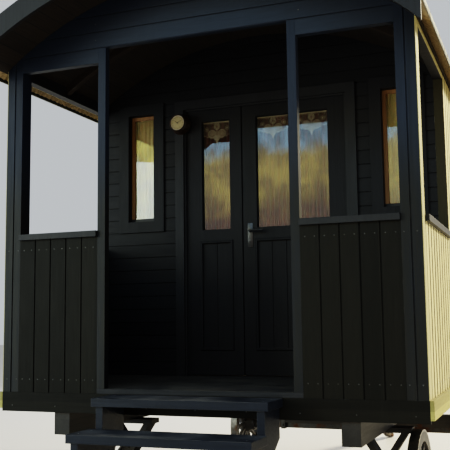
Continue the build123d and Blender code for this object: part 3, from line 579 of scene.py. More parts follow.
# The slim sashes' wood is painted twice as light as the door sashes': painted sunlight on the reveals.
slim_sash_wood = timber(
    "slim_sash_wood", (0.23, 0.115, 0.04), (0.28, 0.16, 0.08), (0, 2, 0.5, 0.0),
    inside=behind(2, sash_foot, -1, ink), **oiled,
)
wood_on = {
    "floor": deck_paint, "roof_boards": shaded_ceiling, "roof_bows": bow_timber, "window_sashes": sash_wood,
    "slim_sashes": slim_sash_wood,
}
for label, finish in wood_on.items():
    dress(finish, label)
road_dust = (0.5, (0.13, 0.11, 0.085))
for name, along, pieces in (
    ("tarred_timber", 1, ("sills", "fore_frame", "drawbar")),
    ("tarred_crosswise", 0, ("bearers", "porch_bolster", "upper_bolster", "fore_bed")),
):
    tar = timber(
        name, (0.026, 0.022, 0.019), (0.11, 0.08, 0.055), (2, along, 0.2, 0.0), grain_depth=0.6, gloss=0.5,
        wear=0.7, mud=0.55, dust=road_dust,
    )
    dress(tar, *pieces)
print("timber finishes:", len([m for m in bpy.data.materials if m.users]))

# %% [markdown]
# ## Iron and glass
#
# Forged iron is dark and uneven, with rust in the hollows and a polish where it rubs. Window glass is
# a plain dielectric: the transmission stays on its own socket, and a hint of dirt roughens it.


# %% Iron and glass
def forged(name, colour, rust, amount, gloss=0.5, mud=0.0):
    finish, tree, shader = new_finish(name, {"Metallic": 0.85})
    place = object_place(tree)
    edges = use_group(tree, soft_edges, vector=place, radius=0.002, wear=0.7)
    marks = use_group(tree, weather, vector=place, dust=0.4, mud_height=mud)
    scale = mottle(tree, place, 34.0, 6.0, 0.7)
    patch = spread(tree, mottle(tree, place, 7.0, 5.0, 0.6, 0.4), 0.62 - amount * 0.3, 0.75 - amount * 0.2)
    skin = tint(tree, spread(tree, scale, 0.3, 0.7), colour, toned(colour, 1.7))
    for mask, over in (
        (patch, rust), (edges["Mask"], (0.25, 0.24, 0.23)), (marks["Dust"], (0.16, 0.14, 0.11)),
        (times(tree, marks["Mud"], 0.5), mud_brown),
    ):
        skin = tint(tree, mask, skin, over)
    rough = plus(tree, gloss, times(tree, patch, 0.3))
    coat(tree, shader, skin, rough, scale, (0.5, 0.0015), edges["Normal"])
    return finish


iron = forged("forged_iron", (0.045, 0.043, 0.042), (0.13, 0.055, 0.025), 0.4, mud=0.5)
tyre_iron = forged("tyre_iron", (0.09, 0.085, 0.08), (0.12, 0.06, 0.03), 0.3, gloss=0.4, mud=0.5)
dress(
    iron, "porch_clips", "fore_clips", "porch_axle", "fore_axle", "upper_plate", "lower_plate",
    "hinge_pin", "tow_eye", "door_hinges",
)
dress(tyre_iron, *[name for name in nodes if name.startswith("tyre_")])

clear_glass = {"Base Color": (0.93, 0.97, 0.96, 1), "Transmission Weight": 1.0, "IOR": 1.5}
pane, tree, shader = new_finish("window_pane", clear_glass)
smear = mottle(tree, object_place(tree), 11.0, 5.0, 0.6)
tree.links.new(spread(tree, smear, 0.4, 0.8, 0.0, 0.09), shader["Roughness"])
dress(pane, "window_glass", "left_door_glass", "right_door_glass")
print("iron and glass ready")

# %% [markdown]
# ## Spoked wheels
#
# A wheelwright paints the spokes and the rim before the hot tyre goes on. The grain runs round the
# rim and out along each spoke, which one straight direction can't follow, so this finish uses a fine
# noise in all directions and relies on chipped paint and mud for its detail.

# %% Paint the wheels
wheel_paint = timber(
    "wheel_paint", (0.028, 0.026, 0.026), (0.16, 0.11, 0.07), (0, 2, 5.0, -3.0), fibre=60, wear=0.9,
    gloss=0.42, radius=0.006, mud=0.6, dust=road_dust,
)
dress(wheel_paint, *[name for name in nodes if name.startswith("wheel_")])
print("wheels painted:", sum(1 for name in nodes if name.startswith("wheel_")))

# %% [markdown]
# ## Turning shapes into pieces
#
# Each new piece starts as a bmesh, which is a mesh that operators can work on. One helper writes it
# into an object, gives it its finishes, and lets it ride on the body of the wagon that carries it.
# The shading stays flat across sharp corners and smooth on turned or bent faces. The other helpers are
# the shapes that come back most often: a cone or cylinder, a block, and a line spun round an axis.

# %% Helpers for new pieces
move, rotation = Matrix.Translation, Matrix.Rotation
quarter = math.pi / 2


def as_object(shape, name, finishes):
    mesh = bpy.data.meshes.new(name)
    shape.to_mesh(mesh)
    shape.free()
    for finish in finishes:
        mesh.materials.append(finish)
    piece = bpy.data.objects.new(name, mesh)
    bpy.context.collection.objects.link(piece)
    return piece


def keep(shape, name, body, slot, *finishes, smooth=35):
    piece = as_object(shape, name, finishes)
    if smooth:
        piece.data.shade_smooth()
        piece.data.set_sharp_from_angle(angle=math.radians(smooth))
    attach(piece, body)
    print(name, "has", len(piece.data.polygons), "faces")
    return piece


def cone(shape, place, depth, radius, tip=None, segments=20):
    """Without a tip radius it is a cylinder."""
    return bmesh.ops.create_cone(
        shape, cap_ends=True, segments=segments, radius1=radius, radius2=radius if tip is None else tip,
        depth=depth, matrix=place,
    )["verts"]


def block(shape, place, size):
    return bmesh.ops.create_cube(shape, size=1, matrix=place @ Matrix.Diagonal((*size, 1)))["verts"]


def facing(place, toward):
    """A place whose Z looks along a direction."""
    return move(place) @ Vector(toward).to_track_quat("Z", "Y").to_matrix().to_4x4()


def spin_line(shape, points, hub, axis, steps, half_angle=None):
    """Spins a line about an axis: right round, or as far to both sides as half_angle says."""
    verts = [shape.verts.new(point) for point in points]
    edges = [shape.edges.new(pair) for pair in zip(verts, verts[1:])]
    if half_angle:
        bmesh.ops.rotate(shape, cent=hub, matrix=rotation(-half_angle, 3, axis), verts=verts)
    bmesh.ops.spin(
        shape, geom=verts + edges, cent=hub, axis=[float(axis == letter) for letter in "XYZ"],
        dvec=(0, 0, 0), angle=2 * (half_angle or math.pi), steps=steps, use_merge=not half_angle,
        use_normal_flip=False, use_duplicate=False,
    )


def close_up(shape):
    """Merges the seam of a spun shape and turns its faces outwards."""
    bmesh.ops.remove_doubles(shape, verts=shape.verts, dist=0.00001)
    bmesh.ops.recalc_face_normals(shape, faces=shape.faces)


print("helpers for pieces ready")

# %% [markdown]
# ## The corrugated roof
#
# The roof is covered with curved corrugated sheets that lap over each other by one wave. A wave modelled
# by hand would take thousands of points. Instead a short wavy line runs along the crown, is turned down
# to one eave, and is spun round the roof's axis to the other eave. A millimetre of thickness closes it.

# %% Roll the corrugated sheets
wave_count, sheet_waves, wave_steps = 94, 10, 8
wave = (sheet_high.y - sheet_low.y) / wave_count
wave_height, half_gap = 0.0072, 0.0007
middle_radius = roof_radius + 0.0288
crest_radius = middle_radius + wave_height
sheet_metal, sheet_tree, sheet_shader = new_finish("rusty_sheet", {"Metallic": 0.35})
chance = random.Random(4)
roofing = bmesh.new()
for start in range(0, wave_count - 1, sheet_waves - 1):
    layer = half_gap if (start // (sheet_waves - 1)) % 2 else -half_gap
    points = []
    for step in range(min(sheet_waves, wave_count - start) * wave_steps + 1):
        swing = math.cos(2 * math.pi * step / wave_steps)
        height = roof_axis_z + middle_radius + layer + wave_height * swing
        points.append((0, sheet_low.y + wave * (start + step / wave_steps), height))
    eave_angle = math.asin((sheet_high.x - chance.uniform(0.003, 0.006)) / (crest_radius + 0.0015))
    spin_line(roofing, points, (0, 0, roof_axis_z), "Y", 32, eave_angle)
bmesh.ops.recalc_face_normals(roofing, faces=roofing.faces)
bmesh.ops.solidify(roofing, geom=roofing.faces[:], thickness=0.001)
sheets = keep(roofing, "corrugated_roof", "wagon", "roof_metal", sheet_metal, smooth=50)
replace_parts(sheets, "roof_sheet")

# %% [markdown]
# ## Rust and zinc on the sheet
#
# Old sheet is grey where the zinc lives, brown where it has gone, and streaked down the slope. The
# streaks must follow the arc, so the pattern is stretched across X. The underside is golden brown, partly
# rust and partly painted sunlight reflected from below, and a mask on the normal's height tells the two
# sides apart.

# %% Finish the sheet
tree = sheet_tree
place = object_place(tree)
streaks = spread(tree, mottle(tree, stretch(tree, place, (1.2, 9.0, 1.2)), 2.4, 6.0, 0.62, 0.2), 0.42, 0.7)
speckle = spread(tree, mottle(tree, place, 60.0, 5.0, 0.7), 0.4, 0.7)
top_skin = tint(tree, streaks, (0.05, 0.047, 0.046), (0.115, 0.062, 0.034))
top_skin = tint(tree, times(tree, speckle, 0.5), top_skin, (0.14, 0.125, 0.11))
# Underside: golden brown, partly rust and partly painted sunlight reflected from below.
rust_and_lit_underside = tint(tree, speckle, (0.42, 0.30, 0.16), (0.24, 0.16, 0.085))
upward = split(tree, put(tree, "ShaderNodeNewGeometry").outputs["Normal"])[2]
skin = tint(tree, spread(tree, upward, -0.05, 0.05), rust_and_lit_underside, top_skin)
edges = use_group(tree, soft_edges, vector=place, radius=0.002, wear=0.95)
skin = tint(tree, edges["Mask"], skin, (0.42, 0.38, 0.31))
rough = spread(tree, mottle(tree, place, 3.1, 5.0, 0.6), 0.3, 0.7, 0.42, 0.75)
coat(tree, sheet_shader, skin, rough, speckle, (0.35, 0.001))
print("rusty_sheet nodes:", len(tree.nodes))

# %% [markdown]
# ## Roof screws
#
# A screw with a domed washer holds every fifth wave to the bows below. The heads repeat more than a
# hundred times, so each is only two short cones. The matrix of each cone tips it square to the arc.

# %% Drive the roof screws
screws = bmesh.new()
screw_rows = (-0.95, -0.7, -0.42, -0.17, 0.17, 0.42, 0.7, 0.95)
for share in screw_rows:
    angle = share * eave_angle
    outward = Vector((math.sin(angle), 0, math.cos(angle))) * (crest_radius + 0.0012)
    for index in range(2, wave_count, 5):
        middle = Vector((0, sheet_low.y + wave * index, roof_axis_z))
        seat = move(middle + outward) @ rotation(angle, 4, "Y")
        cone(screws, seat, 0.003, 0.011, 0.007, segments=10)
        cone(screws, seat @ move((0, 0, 0.0035)), 0.004, 0.005, 0.0045, segments=6)
keep(screws, "roof_screws", "wagon", "iron", iron, smooth=0)

# %% [markdown]
# ## A capping along the eaves
#
# The open ends of the waves would let the wind drive rain in, so a narrow angle of sheet is nailed over
# them. Its lower edge is rolled into a bead. Three plain shapes make it: an upright strip, a strip that
# leans with the roof, and a thin cylinder for the bead, which is painted much lighter than the strips as
# a painted highlight along the eave.

# %% Cap the eaves
dull_zinc = forged("dull_zinc", (0.055, 0.060, 0.050), (0.10, 0.065, 0.035), 0.35, gloss=0.55)
# The bead's metal is painted light: a painted highlight along the eave.
bright_zinc = forged("bright_zinc", (0.26, 0.26, 0.24), (0.13, 0.085, 0.05), 0.25, gloss=0.38)
capping = bmesh.new()
capping_length = sheet_high.y - sheet_low.y - 0.002
strip = 0.0012
eave_z = roof_axis_z + math.cos(eave_angle) * middle_radius
for side in (-1, 1):
    outer_x = side * (sheet_high.x - 0.001)
    block(capping, move((outer_x, 0, eave_z - 0.008)), (strip, capping_length, 0.024))
    fold = move((outer_x, 0, eave_z + 0.004)) @ rotation(side * eave_angle, 4, "Y")
    block(capping, fold @ move((-side * 0.0125, 0, 0)), (0.025, capping_length, strip))
    roll = move((outer_x - side * 0.0028, 0, eave_z - 0.020)) @ rotation(quarter, 4, "X")
    for vert in cone(capping, roll, capping_length, 0.0032, segments=12):
        for face in vert.link_faces:
            face.material_index = 1
keep(capping, "eave_cappings", "wagon", "roof_metal", dull_zinc, bright_zinc, smooth=40)

# %% [markdown]
# ## Screws in the boards
#
# Small bright dots near the ends of the boards give away the screws. They sit in pairs, a hand's
# breadth from each end. One helper drives a shallow dome into a face, whichever way the face looks.


# %% Drive the screws of the porch front
def drive(shape, place, toward, radius=0.0045):
    cone(shape, facing(place, toward), 0.0022, radius, radius * 0.6, segments=10)


painted_over = forged("painted_screws", (0.05, 0.05, 0.048), (0.08, 0.05, 0.03), 0.1, gloss=0.4)
panel_low, panel_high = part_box("front_panels")
bay_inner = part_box("inner_posts")[1].x
board_count = round((panel_high.x - bay_inner) / panel_board)
board = (panel_high.x - bay_inner) / board_count
board_ends = (panel_low.z + 0.075, panel_high.z - 0.06)
front_screws = bmesh.new()
for side in (-1, 1):
    middles = [side * (bay_inner + board * (index + 0.5)) for index in range(board_count)]
    spots = [(middle + shift, z) for middle in middles for z in board_ends for shift in (-0.026, 0.026)]
    spots += [(side * x, z) for z in board_ends for x in (1.155, 1.221)]
    for x, z in spots:
        drive(front_screws, (x, panel_low.y, z), (0, -1, 0))
fascia_half = 1.18
for index in range(9):
    x = -fascia_half + 2 * fascia_half * index / 8
    drive(front_screws, (x, front_y, fascia_low.z + 0.035), (0, -1, 0))
gable_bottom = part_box("front_gable")[0].z
for index in range(4):
    for x in (-0.63, 0.63):
        drive(front_screws, (x, front_y, gable_bottom + 0.14 + 0.1 * index), (0, -1, 0))
keep(front_screws, "front_screws", "wagon", "iron", painted_over, smooth=0)

# %% [markdown]
# ## Screws along the sides
#
# The side boards are held in the same way, with one screw at each end of a board. The cabin has thirty
# boards on each side and the porch ten, so one loop over both lengths places them all.

# %% Drive the screws of the sides
zinc = forged("zinc_screws", (0.30, 0.30, 0.29), (0.16, 0.09, 0.05), 0.1, gloss=0.35)
wall_low, wall_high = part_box("right_wall")
side_screws = bmesh.new()
lengths = (
    (cabin_y, back_y - cabin_y, 30, (wall_low.z + 0.06, wall_high.z - 0.15)),
    (bay_start, cabin_y - bay_start, 10, (panel_low.z + 0.06, panel_high.z - 0.06)),
)
for side in (-1, 1):
    for first, length, count, heights in lengths:
        for index in range(count):
            for z in heights:
                y = first + length * (index + 0.5) / count
                drive(side_screws, (side * half_width, y, z), (side, 0, 0))
keep(side_screws, "side_screws", "wagon", "iron", zinc, smooth=0)

# %% [markdown]
# ## Mouldings round the door panels
#
# A joiner covers the edge of each panel with a moulding that stands proud of the door. One rectangle
# is inset again and again, each time a little narrower and at another depth, which draws the curved
# profile on all four sides at once with clean mitres. The flat middle is then thrown away.


# %% Lay mouldings and beads
def lay_frame(shape, low, high, profile):
    """Adds a mitred frame inside an upright rectangle; profile lists (width, rise) steps."""
    corners = ((low.x, low.z), (high.x, low.z), (high.x, high.z), (low.x, high.z))
    face = shape.faces.new([shape.verts.new((x, low.y, z)) for x, z in corners])
    face.normal_update()
    for width, rise in profile:
        bmesh.ops.inset_individual(shape, faces=[face], thickness=width, depth=rise, use_even_offset=True)
    bmesh.ops.delete(shape, geom=[face], context="FACES_ONLY")


ogee = (
    (0.0001, 0.004), (0.0012, 0.003), (0.003, 0.0022), (0.0035, 0.0002), (0.003, -0.0024),
    (0.0015, -0.0005), (0.0025, 0.0012), (0.0022, -0.001), (0.0015, -0.004), (0.0001, -0.0125),
)
bead = ((0.0001, 0.0), (0.0010, 0.0007), (0.0012, -0.0007), (0.0005, -0.0066))
leaf_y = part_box("right_door")[0].y + 0.008
left_low, left_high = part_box("left_door_glass")
right_low, right_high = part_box("right_door_glass")
glazing_bar, rebate = 0.04, 0.007
light = (right_high.x - right_low.x - glazing_bar) / 2
leaf_lights = {
    "left_leaf": [(left_low.x, left_high.x)],
    "right_leaf": [(right_low.x, right_low.x + light), (right_high.x - light, right_high.x)],
}
margin = 0.0175
for body, lights in leaf_lights.items():
    trim = bmesh.new()
    low = Vector((lights[0][0] - margin, leaf_y - 0.0002, deck_z + 0.19 - margin))
    lay_frame(trim, low, Vector((lights[-1][1] + margin, leaf_y, deck_z + 0.918 + margin)), ogee)
    for light_low, light_high in lights:
        low = Vector((light_low, left_low.y - rebate, left_low.z))
        lay_frame(trim, low, Vector((light_high, 0, left_high.z)), bead)
    keep(trim, f"{body}_mouldings", body, "black_paint", paint_doors)

# %% [markdown]
# ## Beads round the slim windows' panes
#
# The brown sashes hold their glass with a thin bead of the same oiled wood. It is the same inset trick,
# with a smaller profile.

# %% Bead the slim sashes
sash_low, sash_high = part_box("slim_sashes")
slim_member = 0.024
slim_middles = {"left": -0.906, "right": 0.953}
slim_light = sash_high.x - slim_middles["right"] - slim_member
beads = bmesh.new()
for middle in slim_middles.values():
    low = Vector((middle - slim_light, cabin_y + 0.047 - rebate, sash_low.z + slim_member))
    lay_frame(beads, low, Vector((middle + slim_light, 0, sash_high.z - slim_member)), bead)
keep(beads, "slim_beads", "wagon", "sash_wood", slim_sash_wood)

# %% [markdown]
# ## Gathered curtains
#
# A curtain is cut wider than its window and gathered on a wire. It could be simulated, but cloth this
# close behind a pane hardly moves, so a grid is folded in code: the folds are even but not regular,
# shallow at the wire and fuller at the hem. The flat width is measured from the folded cloth.


# %% Hang the curtains
def cut_cloth(middle, width, height, columns, rows):
    """An upright grid of cloth."""
    cloth = bmesh.new()
    seat = move(middle) @ rotation(quarter, 4, "X") @ Matrix.Diagonal((width, height, 1, 1))
    bmesh.ops.create_grid(cloth, x_segments=columns, y_segments=rows, size=0.5, matrix=seat)
    return cloth


def map_cloth(cloth, zero_x, top, widening=1.0):
    """Writes the cloth's UV map in metres, from a line of its own and down from its top."""
    layer = cloth.loops.layers.uv.new("cloth")
    for face in cloth.faces:
        for corner in face.loops:
            spot = corner.vert.co
            corner[layer].uv = ((spot.x - zero_x) * widening, top - spot.z)


def hang(name, body, low, high, folds, depth, phase, slot, finish):
    width, height = high.x - low.x, high.z - low.z
    middle = ((low.x + high.x) / 2, (low.y + high.y) / 2, (low.z + high.z) / 2)
    cloth = cut_cloth(middle, width, height, folds * 8, 36)
    for vert in cloth.verts:
        along = (vert.co.x - low.x) / width
        drop = (high.z - vert.co.z) / height
        swing = 2 * math.pi * folds * (along + 0.22 / folds * math.sin(6.1 * along + phase + 0.6 * drop))
        fullness = 0.55 + 0.45 * drop**0.6 - 0.35 * math.exp(-((drop / 0.03) ** 2))
        vert.co.y += depth * fullness * math.sin(swing + phase)
        vert.co.y += 0.2 * depth * math.sin(2.3 * swing + 4 * drop)
        vert.co.x += 0.0022 * math.cos(swing + phase) * drop
    flat_width = sum(face.calc_area() for face in cloth.faces) / height
    map_cloth(cloth, low.x, high.z, flat_width / width)
    piece = keep(cloth, name, body, slot, finish, smooth=180)
    return piece


cotton = {"Roughness": 0.9, "Sheen Weight": 0.4, "Sheen Roughness": 0.5, "Subsurface Scale": 0.01}
red_cloth, red_tree, red_shader = new_finish("red_brown_cotton", {**cotton, "Subsurface Weight": 0.1})
cream_cloth, cream_tree, cream_shader = new_finish("beige_cotton", {**cotton, "Subsurface Weight": 0.15})
wires = []
for leaf, body, folds in (("left_door", "left_leaf", 9), ("right_door", "right_leaf", 19)):
    node = f"{leaf}_curtain"
    low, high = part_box(node)
    piece = hang(f"{leaf}_hanging", body, low, high, folds, 0.0042, 1.3, "red_cloth", red_cloth)
    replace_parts(piece, node)
    wires.append((f"{leaf}_wire", body, low, high))
slim_low, slim_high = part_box("slim_curtains")
slim_half = slim_high.x - slim_middles["right"]
for label, middle in slim_middles.items():
    low = Vector((middle - slim_half, slim_low.y, slim_low.z))
    high = Vector((middle + slim_half, slim_high.y, slim_high.z))
    piece = hang(
        f"slim_hanging_{label}", "wagon", low, high, 8, 0.0045, 0.4 + middle, "cream_cloth", cream_cloth,
    )
    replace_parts(piece, "slim_curtains")
    wires.append((f"slim_wire_{label}", "wagon", low, high))

# %% [markdown]
# ## Cotton by the thread
#
# The weave is two sets of fine lines that cross, read from the cloth's own UV map in metres, so it
# follows the folds. The red curtain is printed in soft stripes of red-brown and olive.


# %% Weave the cotton
def weave(tree, shader, colour, second, stripe):
    flat = put(tree, "ShaderNodeUVMap", uv_map="cloth").outputs[0]
    axes = split(tree, flat)
    waves = [sums(tree, "SINE", times(tree, axes[axis], 2 * math.pi / 0.0011)) for axis in (0, 1)]
    cross = times(tree, *[spread(tree, wave, -0.8, 0.9) for wave in waves])
    band = sums(tree, "SINE", times(tree, axes[0], 2 * math.pi / stripe))
    skin = tint(tree, spread(tree, band, -0.25, 0.25), colour, second)
    uneven = spread(tree, mottle(tree, flat, 26.0, 4.0, 0.6), 0.35, 0.75, 0.0, 0.35)
    skin = tint(tree, uneven, skin, toned(colour, 0.55))
    skin = tint(tree, times(tree, minus(tree, 1.0, cross), 0.35), skin, toned(colour, 0.4))
    coat(tree, shader, skin, relief=cross, bump=(0.5, 0.0004))


weave(red_tree, red_shader, (0.15, 0.034, 0.020), (0.105, 0.046, 0.019), 0.047)
weave(cream_tree, cream_shader, (0.70, 0.51, 0.22), (0.64, 0.46, 0.20), 0.02)
print("cotton woven")

# %% [markdown]
# ## Lace in the door
#
# A lace valance hangs between the pane and the curtain: a band along the top, two round rosettes in
# each light and a point below them. Real lace is thread around holes. Threads that fine would need
# millions of faces, so the net is a flat cloth whose alpha is cut by circles, petals and a fine mesh.
# Each motif below is a mask of ones and zeros, and the lace is wherever any of them is one.

# %% Draw the lace
lace, tree, shader = new_finish("cotton_lace", {"Base Color": (0.46, 0.36, 0.25, 1), "Roughness": 0.9})
u, v = split(tree, put(tree, "ShaderNodeUVMap", uv_map="cloth").outputs[0])[:2]
from_middle = sums(tree, "ABSOLUTE", u)
rosette = 0.0295


def within(value, limit):
    return sums(tree, "LESS_THAN", value, limit)


def beyond(value, limit):
    return sums(tree, "GREATER_THAN", value, limit)


def fold_up(operation, masks):
    result = masks[0]
    for mask in masks[1:]:
        result = sums(tree, operation, result, mask)
    return result


def all_of(*masks):
    return fold_up("MULTIPLY", masks)


def distance_from(side, centre_u, centre_v):
    """Distance and angle in the cloth from a point; side is u, or its size for two mirrored points."""
    offsets = minus(tree, side, centre_u), minus(tree, v, centre_v)
    squares = [times(tree, offset, offset) for offset in offsets]
    return sums(tree, "SQRT", plus(tree, *squares)), sums(tree, "ARCTAN2", offsets[1], offsets[0])


def ring(distance, radius, half):
    return within(sums(tree, "ABSOLUTE", minus(tree, distance, radius)), half)


def ripple(value, pitch, level):
    return beyond(sums(tree, "SINE", times(tree, value, 2 * math.pi / pitch)), level)


distance, angle = distance_from(from_middle, 0.038, 0.086)
crown, crown_angle = distance_from(u, 0.0, 0.034)
scroll, scroll_angle = distance_from(from_middle, 0.078, 0.050)
slope = plus(tree, v, times(tree, from_middle, 1.9))
scallop = times(tree, sums(tree, "ABSOLUTE", sums(tree, "SINE", times(tree, u, 110.0))), 0.010)
hem = plus(tree, minus(tree, 0.125, times(tree, from_middle, 0.35)), scallop)
net = [
    within(sums(tree, "FRACT", sums(tree, "DIVIDE", axis, 0.0046)), 0.08)
    for axis in (plus(tree, u, v), minus(tree, u, v))
]
motifs = [
    all_of(ring(distance, 0.0155, 0.0055), ripple(angle, 2 * math.pi / 10, 0.1)),
    ring(distance, 0.0, 0.0045), ring(distance, 0.0085, 0.0012), ring(distance, rosette - 0.0045, 0.0010),
    ring(distance, rosette - 0.0015, 0.0015),
    all_of(within(slope, 0.158), beyond(v, 0.096), ripple(slope, 0.006, -0.4), beyond(distance, rosette)),
    all_of(ring(crown, 0.0125, 0.0065), ripple(crown_angle, 2 * math.pi / 8, -0.3)),
    ring(crown, 0.0215, 0.0014), ring(scroll, 0.0, 0.006),
    all_of(ring(scroll, 0.0135, 0.0025), ripple(scroll_angle, 2 * math.pi / 12, 0.0)),
    all_of(within(from_middle, 0.0022), beyond(v, 0.05)),
    within(v, 0.007), all_of(ripple(u, 0.011, 0.2), ring(v, 0.0115, 0.0025)),
    all_of(fold_up("MAXIMUM", net), within(v, hem)), ring(minus(tree, v, hem), 0.0, 0.0016),
]
tree.links.new(fold_up("MAXIMUM", motifs), shader["Alpha"])
print("lace motifs:", len(motifs))

# %% [markdown]
# ## Hanging the lace
#
# Each light gets its own small cloth, hung flat with a slight wave towards the hem. Its UV map is in
# metres from the middle of the top edge, so the two rosettes fall on either side of the middle.

# %% Hang the lace
lace_drop, play = 0.162, 0.004
top = left_high.z - play
for body, lights in leaf_lights.items():
    leaf = body.replace("leaf", "door")
    for index, (light_low, light_high) in enumerate(lights):
        middle = (light_low + light_high) / 2
        centre = (middle, leaf_y + 0.03, top - lace_drop / 2)
        cloth = cut_cloth(centre, light_high - light_low - play, lace_drop, 48, 10)
        map_cloth(cloth, middle, top)
        for vert in cloth.verts:
            vert.co.y += 0.0016 * math.sin(vert.co.x * 210) * (top - vert.co.z) / lace_drop
        area = sum(face.calc_area() for face in cloth.faces)
        piece = keep(cloth, f"{body}_lace_{index}", body, "red_cloth", lace, smooth=180)

# %% [markdown]
# ## Curtain wires
#
# A thin brass rod on two small eyes carries each curtain behind its window. The rod is one slim
# cylinder, and the eyes are short collars of the same brass.

# %% Fit the curtain wires
brass = forged("old_brass", (0.36, 0.25, 0.09), (0.1, 0.07, 0.03), 0.2, gloss=0.3)
overhang = 0.012
for name, body, low, high in wires:
    wire = bmesh.new()
    lying = rotation(quarter, 4, "Y")
    ends = low.x - overhang, high.x + overhang
    y, z = (low.y + high.y) / 2, high.z - 0.004
    cone(wire, move((sum(ends) / 2, y, z)) @ lying, ends[1] - ends[0], 0.002, segments=16)
    for x in (ends[0] + 0.006, ends[1] - 0.006):
        cone(wire, move((x, y, z)) @ lying, 0.004, 0.0045)
    keep(wire, name, body, "iron", brass)

# %% [markdown]
# ## The dial by the door
#
# The case is turned on a lathe from dark wood, so its outline is drawn once and spun round. The face is
# cream enamel with a fine ring, twelve numbers and two hands. The numbers are text turned into mesh.


# %% Turn the dial's case
def turned(profile, where):
    """Spins (radius, depth) pairs about the line that runs from the wall towards the porch."""
    shape = bmesh.new()
    spin_line(shape, [where + Vector((radius, -depth, 0)) for radius, depth in profile], where, "Y", 48)
    close_up(shape)
    return shape


case_low, case_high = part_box("clock_case")
centre = Vector(((case_low.x + case_high.x) / 2, case_high.y, (case_low.z + case_high.z) / 2))
case_radius = (case_high.x - case_low.x) / 2
case_depth = case_high.y - case_low.y
face_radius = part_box("clock_dial")[1].x - centre.x
bezel = 0.0605
outline = [
    (0.0, 0.0), (case_radius, 0.0), (case_radius - 0.001, 0.006), (case_radius - 0.004, 0.010),
    (case_radius - 0.006, 0.024), (case_radius - 0.009, 0.040), (bezel + 0.001, 0.052),
    (bezel - 0.0035, 0.055), (bezel - 0.0035, 0.058), (bezel, 0.061), (bezel, 0.067),
    (bezel - 0.003, case_depth - 0.0005), (face_radius + 0.003, case_depth),
    (face_radius + 0.0005, case_depth - 0.003), (face_radius, case_depth - 0.009),
    (0.0, case_depth - 0.009),
]
case_wood = timber(
    "turned_walnut", (0.030, 0.013, 0.006), (0.09, 0.045, 0.02), (0, 1, 0.5, -3.0), fibre=150, gloss=0.3,
    grain_depth=0.6, dust=(0.15, (0.12, 0.1, 0.07)), shine=0.5, **sheltered,
)
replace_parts(keep(turned(outline, centre), "turned_case", "wagon", "clock_wood", case_wood), "clock_case")

# %% [markdown]
# ## The enamel face
#
# The face is a thin disc. Its fine ring and its pale rim are drawn by the distance from the centre, and
# a mottled yellowing that grows outwards shows its age.

# %% Enamel the face
enamel, tree, shader = new_finish("cream_enamel", {})
centring = {"Vector": object_place(tree), "Location": -centre}
centred = put(tree, "ShaderNodeMapping", centring).outputs[0]
axes = split(tree, centred)
plane = put(tree, "ShaderNodeCombineXYZ", {0: axes[0], 2: axes[2]}).outputs[0]
distance = put(tree, "ShaderNodeVectorMath", {0: plane}, operation="LENGTH").outputs["Value"]
line = ring(distance, face_radius * 0.9, 0.0006)
age = spread(tree, mottle(tree, centred, 38.0, 5.0, 0.6), 0.4, 0.8)
skin = tint(tree, times(tree, age, 0.5), (0.40, 0.33, 0.18), (0.28, 0.21, 0.09))
for mask, over in (
    (spread(tree, distance, face_radius * 0.7, face_radius, 0.0, 0.45), (0.30, 0.22, 0.1)),
    (line, (0.03, 0.025, 0.02)),
    (spread(tree, distance, face_radius * 0.925, face_radius * 0.945), (0.62, 0.56, 0.45)),
):
    skin = tint(tree, mask, skin, over)
coat(tree, shader, skin, spread(tree, age, 0.0, 1.0, 0.25, 0.5))
face_depth = case_depth - 0.0085
face_back = face_depth - 0.002
disc = [(0.0, face_back), (face_radius, face_back), (face_radius, face_depth), (0.0, face_depth)]
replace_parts(keep(turned(disc, centre), "enamel_face", "wagon", "dial_face", enamel), "clock_dial")

# %% [markdown]
# ## Numbers and hands
#
# The numbers stand upright round the dial, and the hands are thin straight strips under a small boss.
# Everything lies a fraction of a millimetre above the enamel.

# %% Set the numbers and hands
black_enamel = forged("black_enamel", (0.012, 0.011, 0.01), (0.02, 0.015, 0.01), 0.0, gloss=0.3)
marks = bmesh.new()
to_porch = rotation(quarter, 4, "X")
ring_radius = face_radius * 0.73
for hour in range(1, 13):
    turn = math.radians(30 * hour)
    letter = bpy.data.curves.new(f"hour_{hour}", "FONT")
    letter.body = str(hour)
    letter.size = 0.0125
    letter.align_x = letter.align_y = "CENTER"
    stand_in = bpy.data.objects.new(f"hour_{hour}", letter)
    number = bpy.data.meshes.new_from_object(stand_in)
    spot = Vector((math.sin(turn) * ring_radius, -face_depth - 0.0002, math.cos(turn) * ring_radius))
    number.transform(move(centre + spot) @ to_porch)
    marks.from_mesh(number)
    bpy.data.objects.remove(stand_in)
    bpy.data.curves.remove(letter)
for degrees, length, width in ((305, 0.026, 0.0034), (60, 0.037, 0.0024)):
    seat = move(centre + Vector((0, -face_depth - 0.0012, 0))) @ rotation(math.radians(degrees), 4, "Y")
    block(marks, seat @ move((0, 0, length * 0.38)), (width, 0.0006, length))
cone(marks, move(centre + Vector((0, -face_depth - 0.002, 0))) @ to_porch, 0.003, 0.0045, 0.003)
keep(marks, "numbers_and_hands", "wagon", "iron", black_enamel, smooth=0)

# %% [markdown]
# ## The lever handle
#
# A long plate carries a round neck and a lever that thickens towards its end. The plate is a block with
# bevelled edges. The lever is a row of circles along a bent line. Bridging each circle to the next
# gives one skin that swells and bends like a forged bar. Both sides of the door get one.

